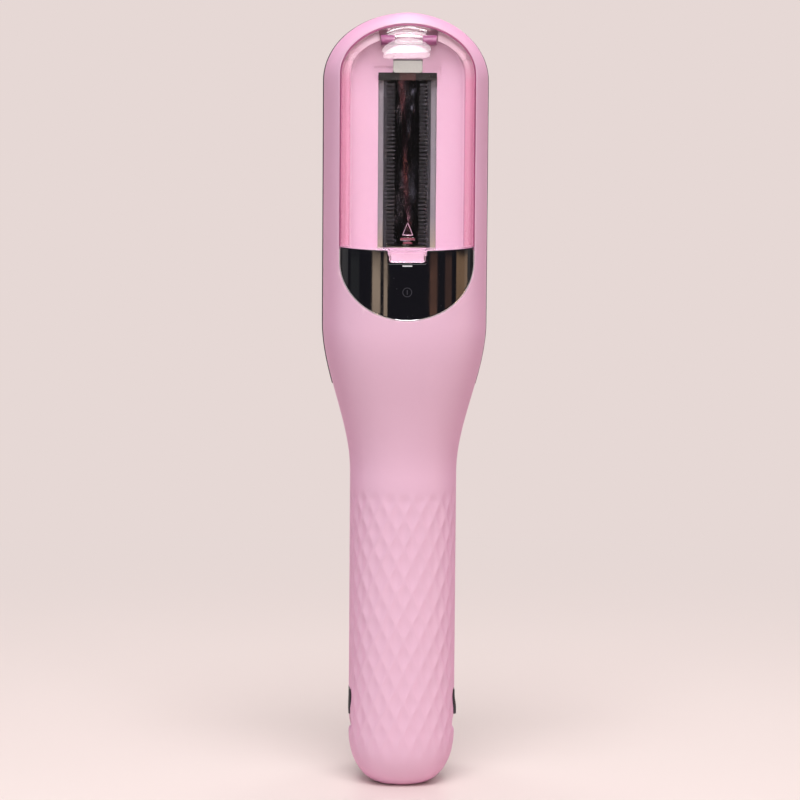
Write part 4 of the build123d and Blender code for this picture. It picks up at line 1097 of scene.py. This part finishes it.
# Soft lamps, in metres and watts. The gleam lies on glossy faces alone.
lamps = {
    "frontBox": {"place": (0.0, -1.26, 0.64), "size": (0.8, 0.27), "power": 4.2, "shape": "ELLIPSE"},
    "archGleam": {"place": (0.0, -1.0, 1.08), "size": (0.9, 0.09), "power": 4.0, "diffuse": False},
    "skyBox": {"place": (0.0, -0.62, 1.28), "size": (0.9, 0.6), "power": 18.8},
    "topBox": {"place": (0.0, 0.32, 1.35), "size": (0.9, 0.5), "power": 3.6},
    "leftBox": {"place": (-1.15, -0.35, 0.4), "size": (0.4, 0.8), "power": 1.1},
    "rightBox": {"place": (1.15, -0.35, 0.4), "size": (0.4, 0.8), "power": 0.75},
    "backLeftBox": {"place": (-0.8, 0.95, 0.6), "size": (0.6, 0.6), "power": 3.0, "glossy": False},
    "backRightBox": {"place": (0.8, 0.95, 0.6), "size": (0.6, 0.6), "power": 3.0, "glossy": False},
}
for name, values in lamps.items():
    softLamp(name, **values)

# Low strips that only the half moon mirrors: degrees round from the front, width, power and tone.
strips = {
    "farLeft": (-48.0, 0.40, 0.06, "#e6efe8"), "leftWide": (-17.0, 0.17, 0.48, "#ffe0c4"),
    "leftThin": (-9.2, 0.055, 0.15, "#ffe0c4"), "rightThin": (17.0, 0.13, 0.11, "#ffb593"),
    "rightMiddle": (33.0, 0.2, 0.09, "#ffb89a"), "farRight": (59.0, 0.6, 0.95, "#ffcb9c"),
}
stripRing = {"radius": 1.25, "z": 0.058, "height": 0.08, "target": (0, -0.027, 0.165)}
for name, (degrees, width, power, tone) in strips.items():
    angle = math.radians(degrees)
    spot = (stripRing["radius"] * math.sin(angle), -stripRing["radius"] * math.cos(angle),
            stripRing["z"])
    softLamp(name + "Strip", spot, (width, stripRing["height"]), power, stripRing["target"], tone)

# Pale floor and a pale room.
stage = {
    "halfWidth": 3000.0, "front": -900.0, "back": 2600.0, "fadeFrom": 110.0, "fadeTo": 520.0,
    "room": "#e6d8d5", "near": "#e2d4d0", "patch": "#dfcfcc", "quiet": "#6d6665",
    "light": "#f3ebea", "lightStrength": 0.13, "mirroredLoss": 0.08,
    "behindFrom": -0.4, "behindFull": 0.1,
}
clearSelection()
bpy.ops.mesh.primitive_plane_add(size=1)
floor = newest("paleFloor")
for corner in floor.data.vertices:
    corner.co.x *= 2 * stage["halfWidth"] * mm
    corner.co.y = (stage["back"] if corner.co.y > 0 else stage["front"]) * mm
paleFloorTone, tree, shader, place = newMaterial("paleFloorTone", Roughness=0.32)
patches = noise(tree, place, 5, 3).outputs[0]
near = mixTones(tree, patches, linear(stage["near"]), linear(stage["patch"]))
# Away from the object the floor fades into the tone of the room, so that no horizon shows.
haze = tree.nodes.new("ShaderNodeEmission")
haze.inputs["Color"].default_value = linear(stage["room"])
distance = tree.nodes.new("ShaderNodeVectorMath")
distance.operation = "LENGTH"
tree.links.new(place, distance.inputs[0])
fade = ramp(tree, distance.outputs["Value"], stage["fadeFrom"] * mm, stage["fadeTo"] * mm,
            "SMOOTHSTEP")
sight = tree.nodes.new("ShaderNodeLightPath").outputs
# The far floor throws little light back onto the object.
quiet = maths(tree, "MULTIPLY", fade, sight["Is Diffuse Ray"])
tree.links.new(mixTones(tree, quiet, near, linear(stage["quiet"])), shader["Base Color"])


def backgroundSeen(tree, sight, behind):
    # The camera sees the plain background, and so do metal and glass, behind the object.
    bounced = maths(tree, "MAXIMUM", sight["Is Glossy Ray"], sight["Is Transmission Ray"])
    reflected = maths(tree, "MULTIPLY", bounced, behind)
    return maths(tree, "MAXIMUM", sight["Is Camera Ray"], reflected), bounced


behind = maths(tree, "GREATER_THAN", axesOf(tree, place)[1], 0.0)
seen, bounced = backgroundSeen(tree, sight, behind)
hazed = tree.nodes.new("ShaderNodeMixShader")
ending = next(n for n in tree.nodes if n.type == "OUTPUT_MATERIAL")
plainFloor = next(n for n in tree.nodes if n.type == "BSDF_PRINCIPLED").outputs[0]
wire(tree, [(maths(tree, "MULTIPLY", fade, seen), hazed.inputs[0]), (plainFloor, hazed.inputs[1]),
            (haze.outputs[0], hazed.inputs[2]), (hazed.outputs[0], ending.inputs["Surface"])])
dress(floor, paleFloorTone)

world = bpy.data.worlds.new("paleRoom")
bpy.context.scene.world = world
world.use_nodes = True
room = world.node_tree
light = next(n for n in room.nodes if n.type == "BACKGROUND")
light.inputs["Color"].default_value = linear(stage["light"])
plain = room.nodes.new("ShaderNodeBackground")
plain.inputs["Color"].default_value = linear(stage["room"])
plain.inputs["Strength"].default_value = 1.0
heading = axesOf(room, room.nodes.new("ShaderNodeTexCoord").outputs["Generated"])[1]
behind = ramp(room, heading, stage["behindFrom"], stage["behindFull"])
seen, bounced = backgroundSeen(room, room.nodes.new("ShaderNodeLightPath").outputs, behind)
# Glossy faces mirror a dim studio in front of the object.
loss = maths(room, "MULTIPLY", bounced, stage["mirroredLoss"])
strength = maths(room, "SUBTRACT", stage["lightStrength"], loss)
blend = room.nodes.new("ShaderNodeMixShader")
ending = next(n for n in room.nodes if n.type == "OUTPUT_WORLD")
wire(room, [(strength, light.inputs["Strength"]), (seen, blend.inputs[0]),
            (light.outputs[0], blend.inputs[1]), (plain.outputs[0], blend.inputs[2]),
            (blend.outputs[0], ending.inputs[0])])
bpy.context.scene.view_settings.view_transform = "Standard"
print("camera, lamps and floor set")
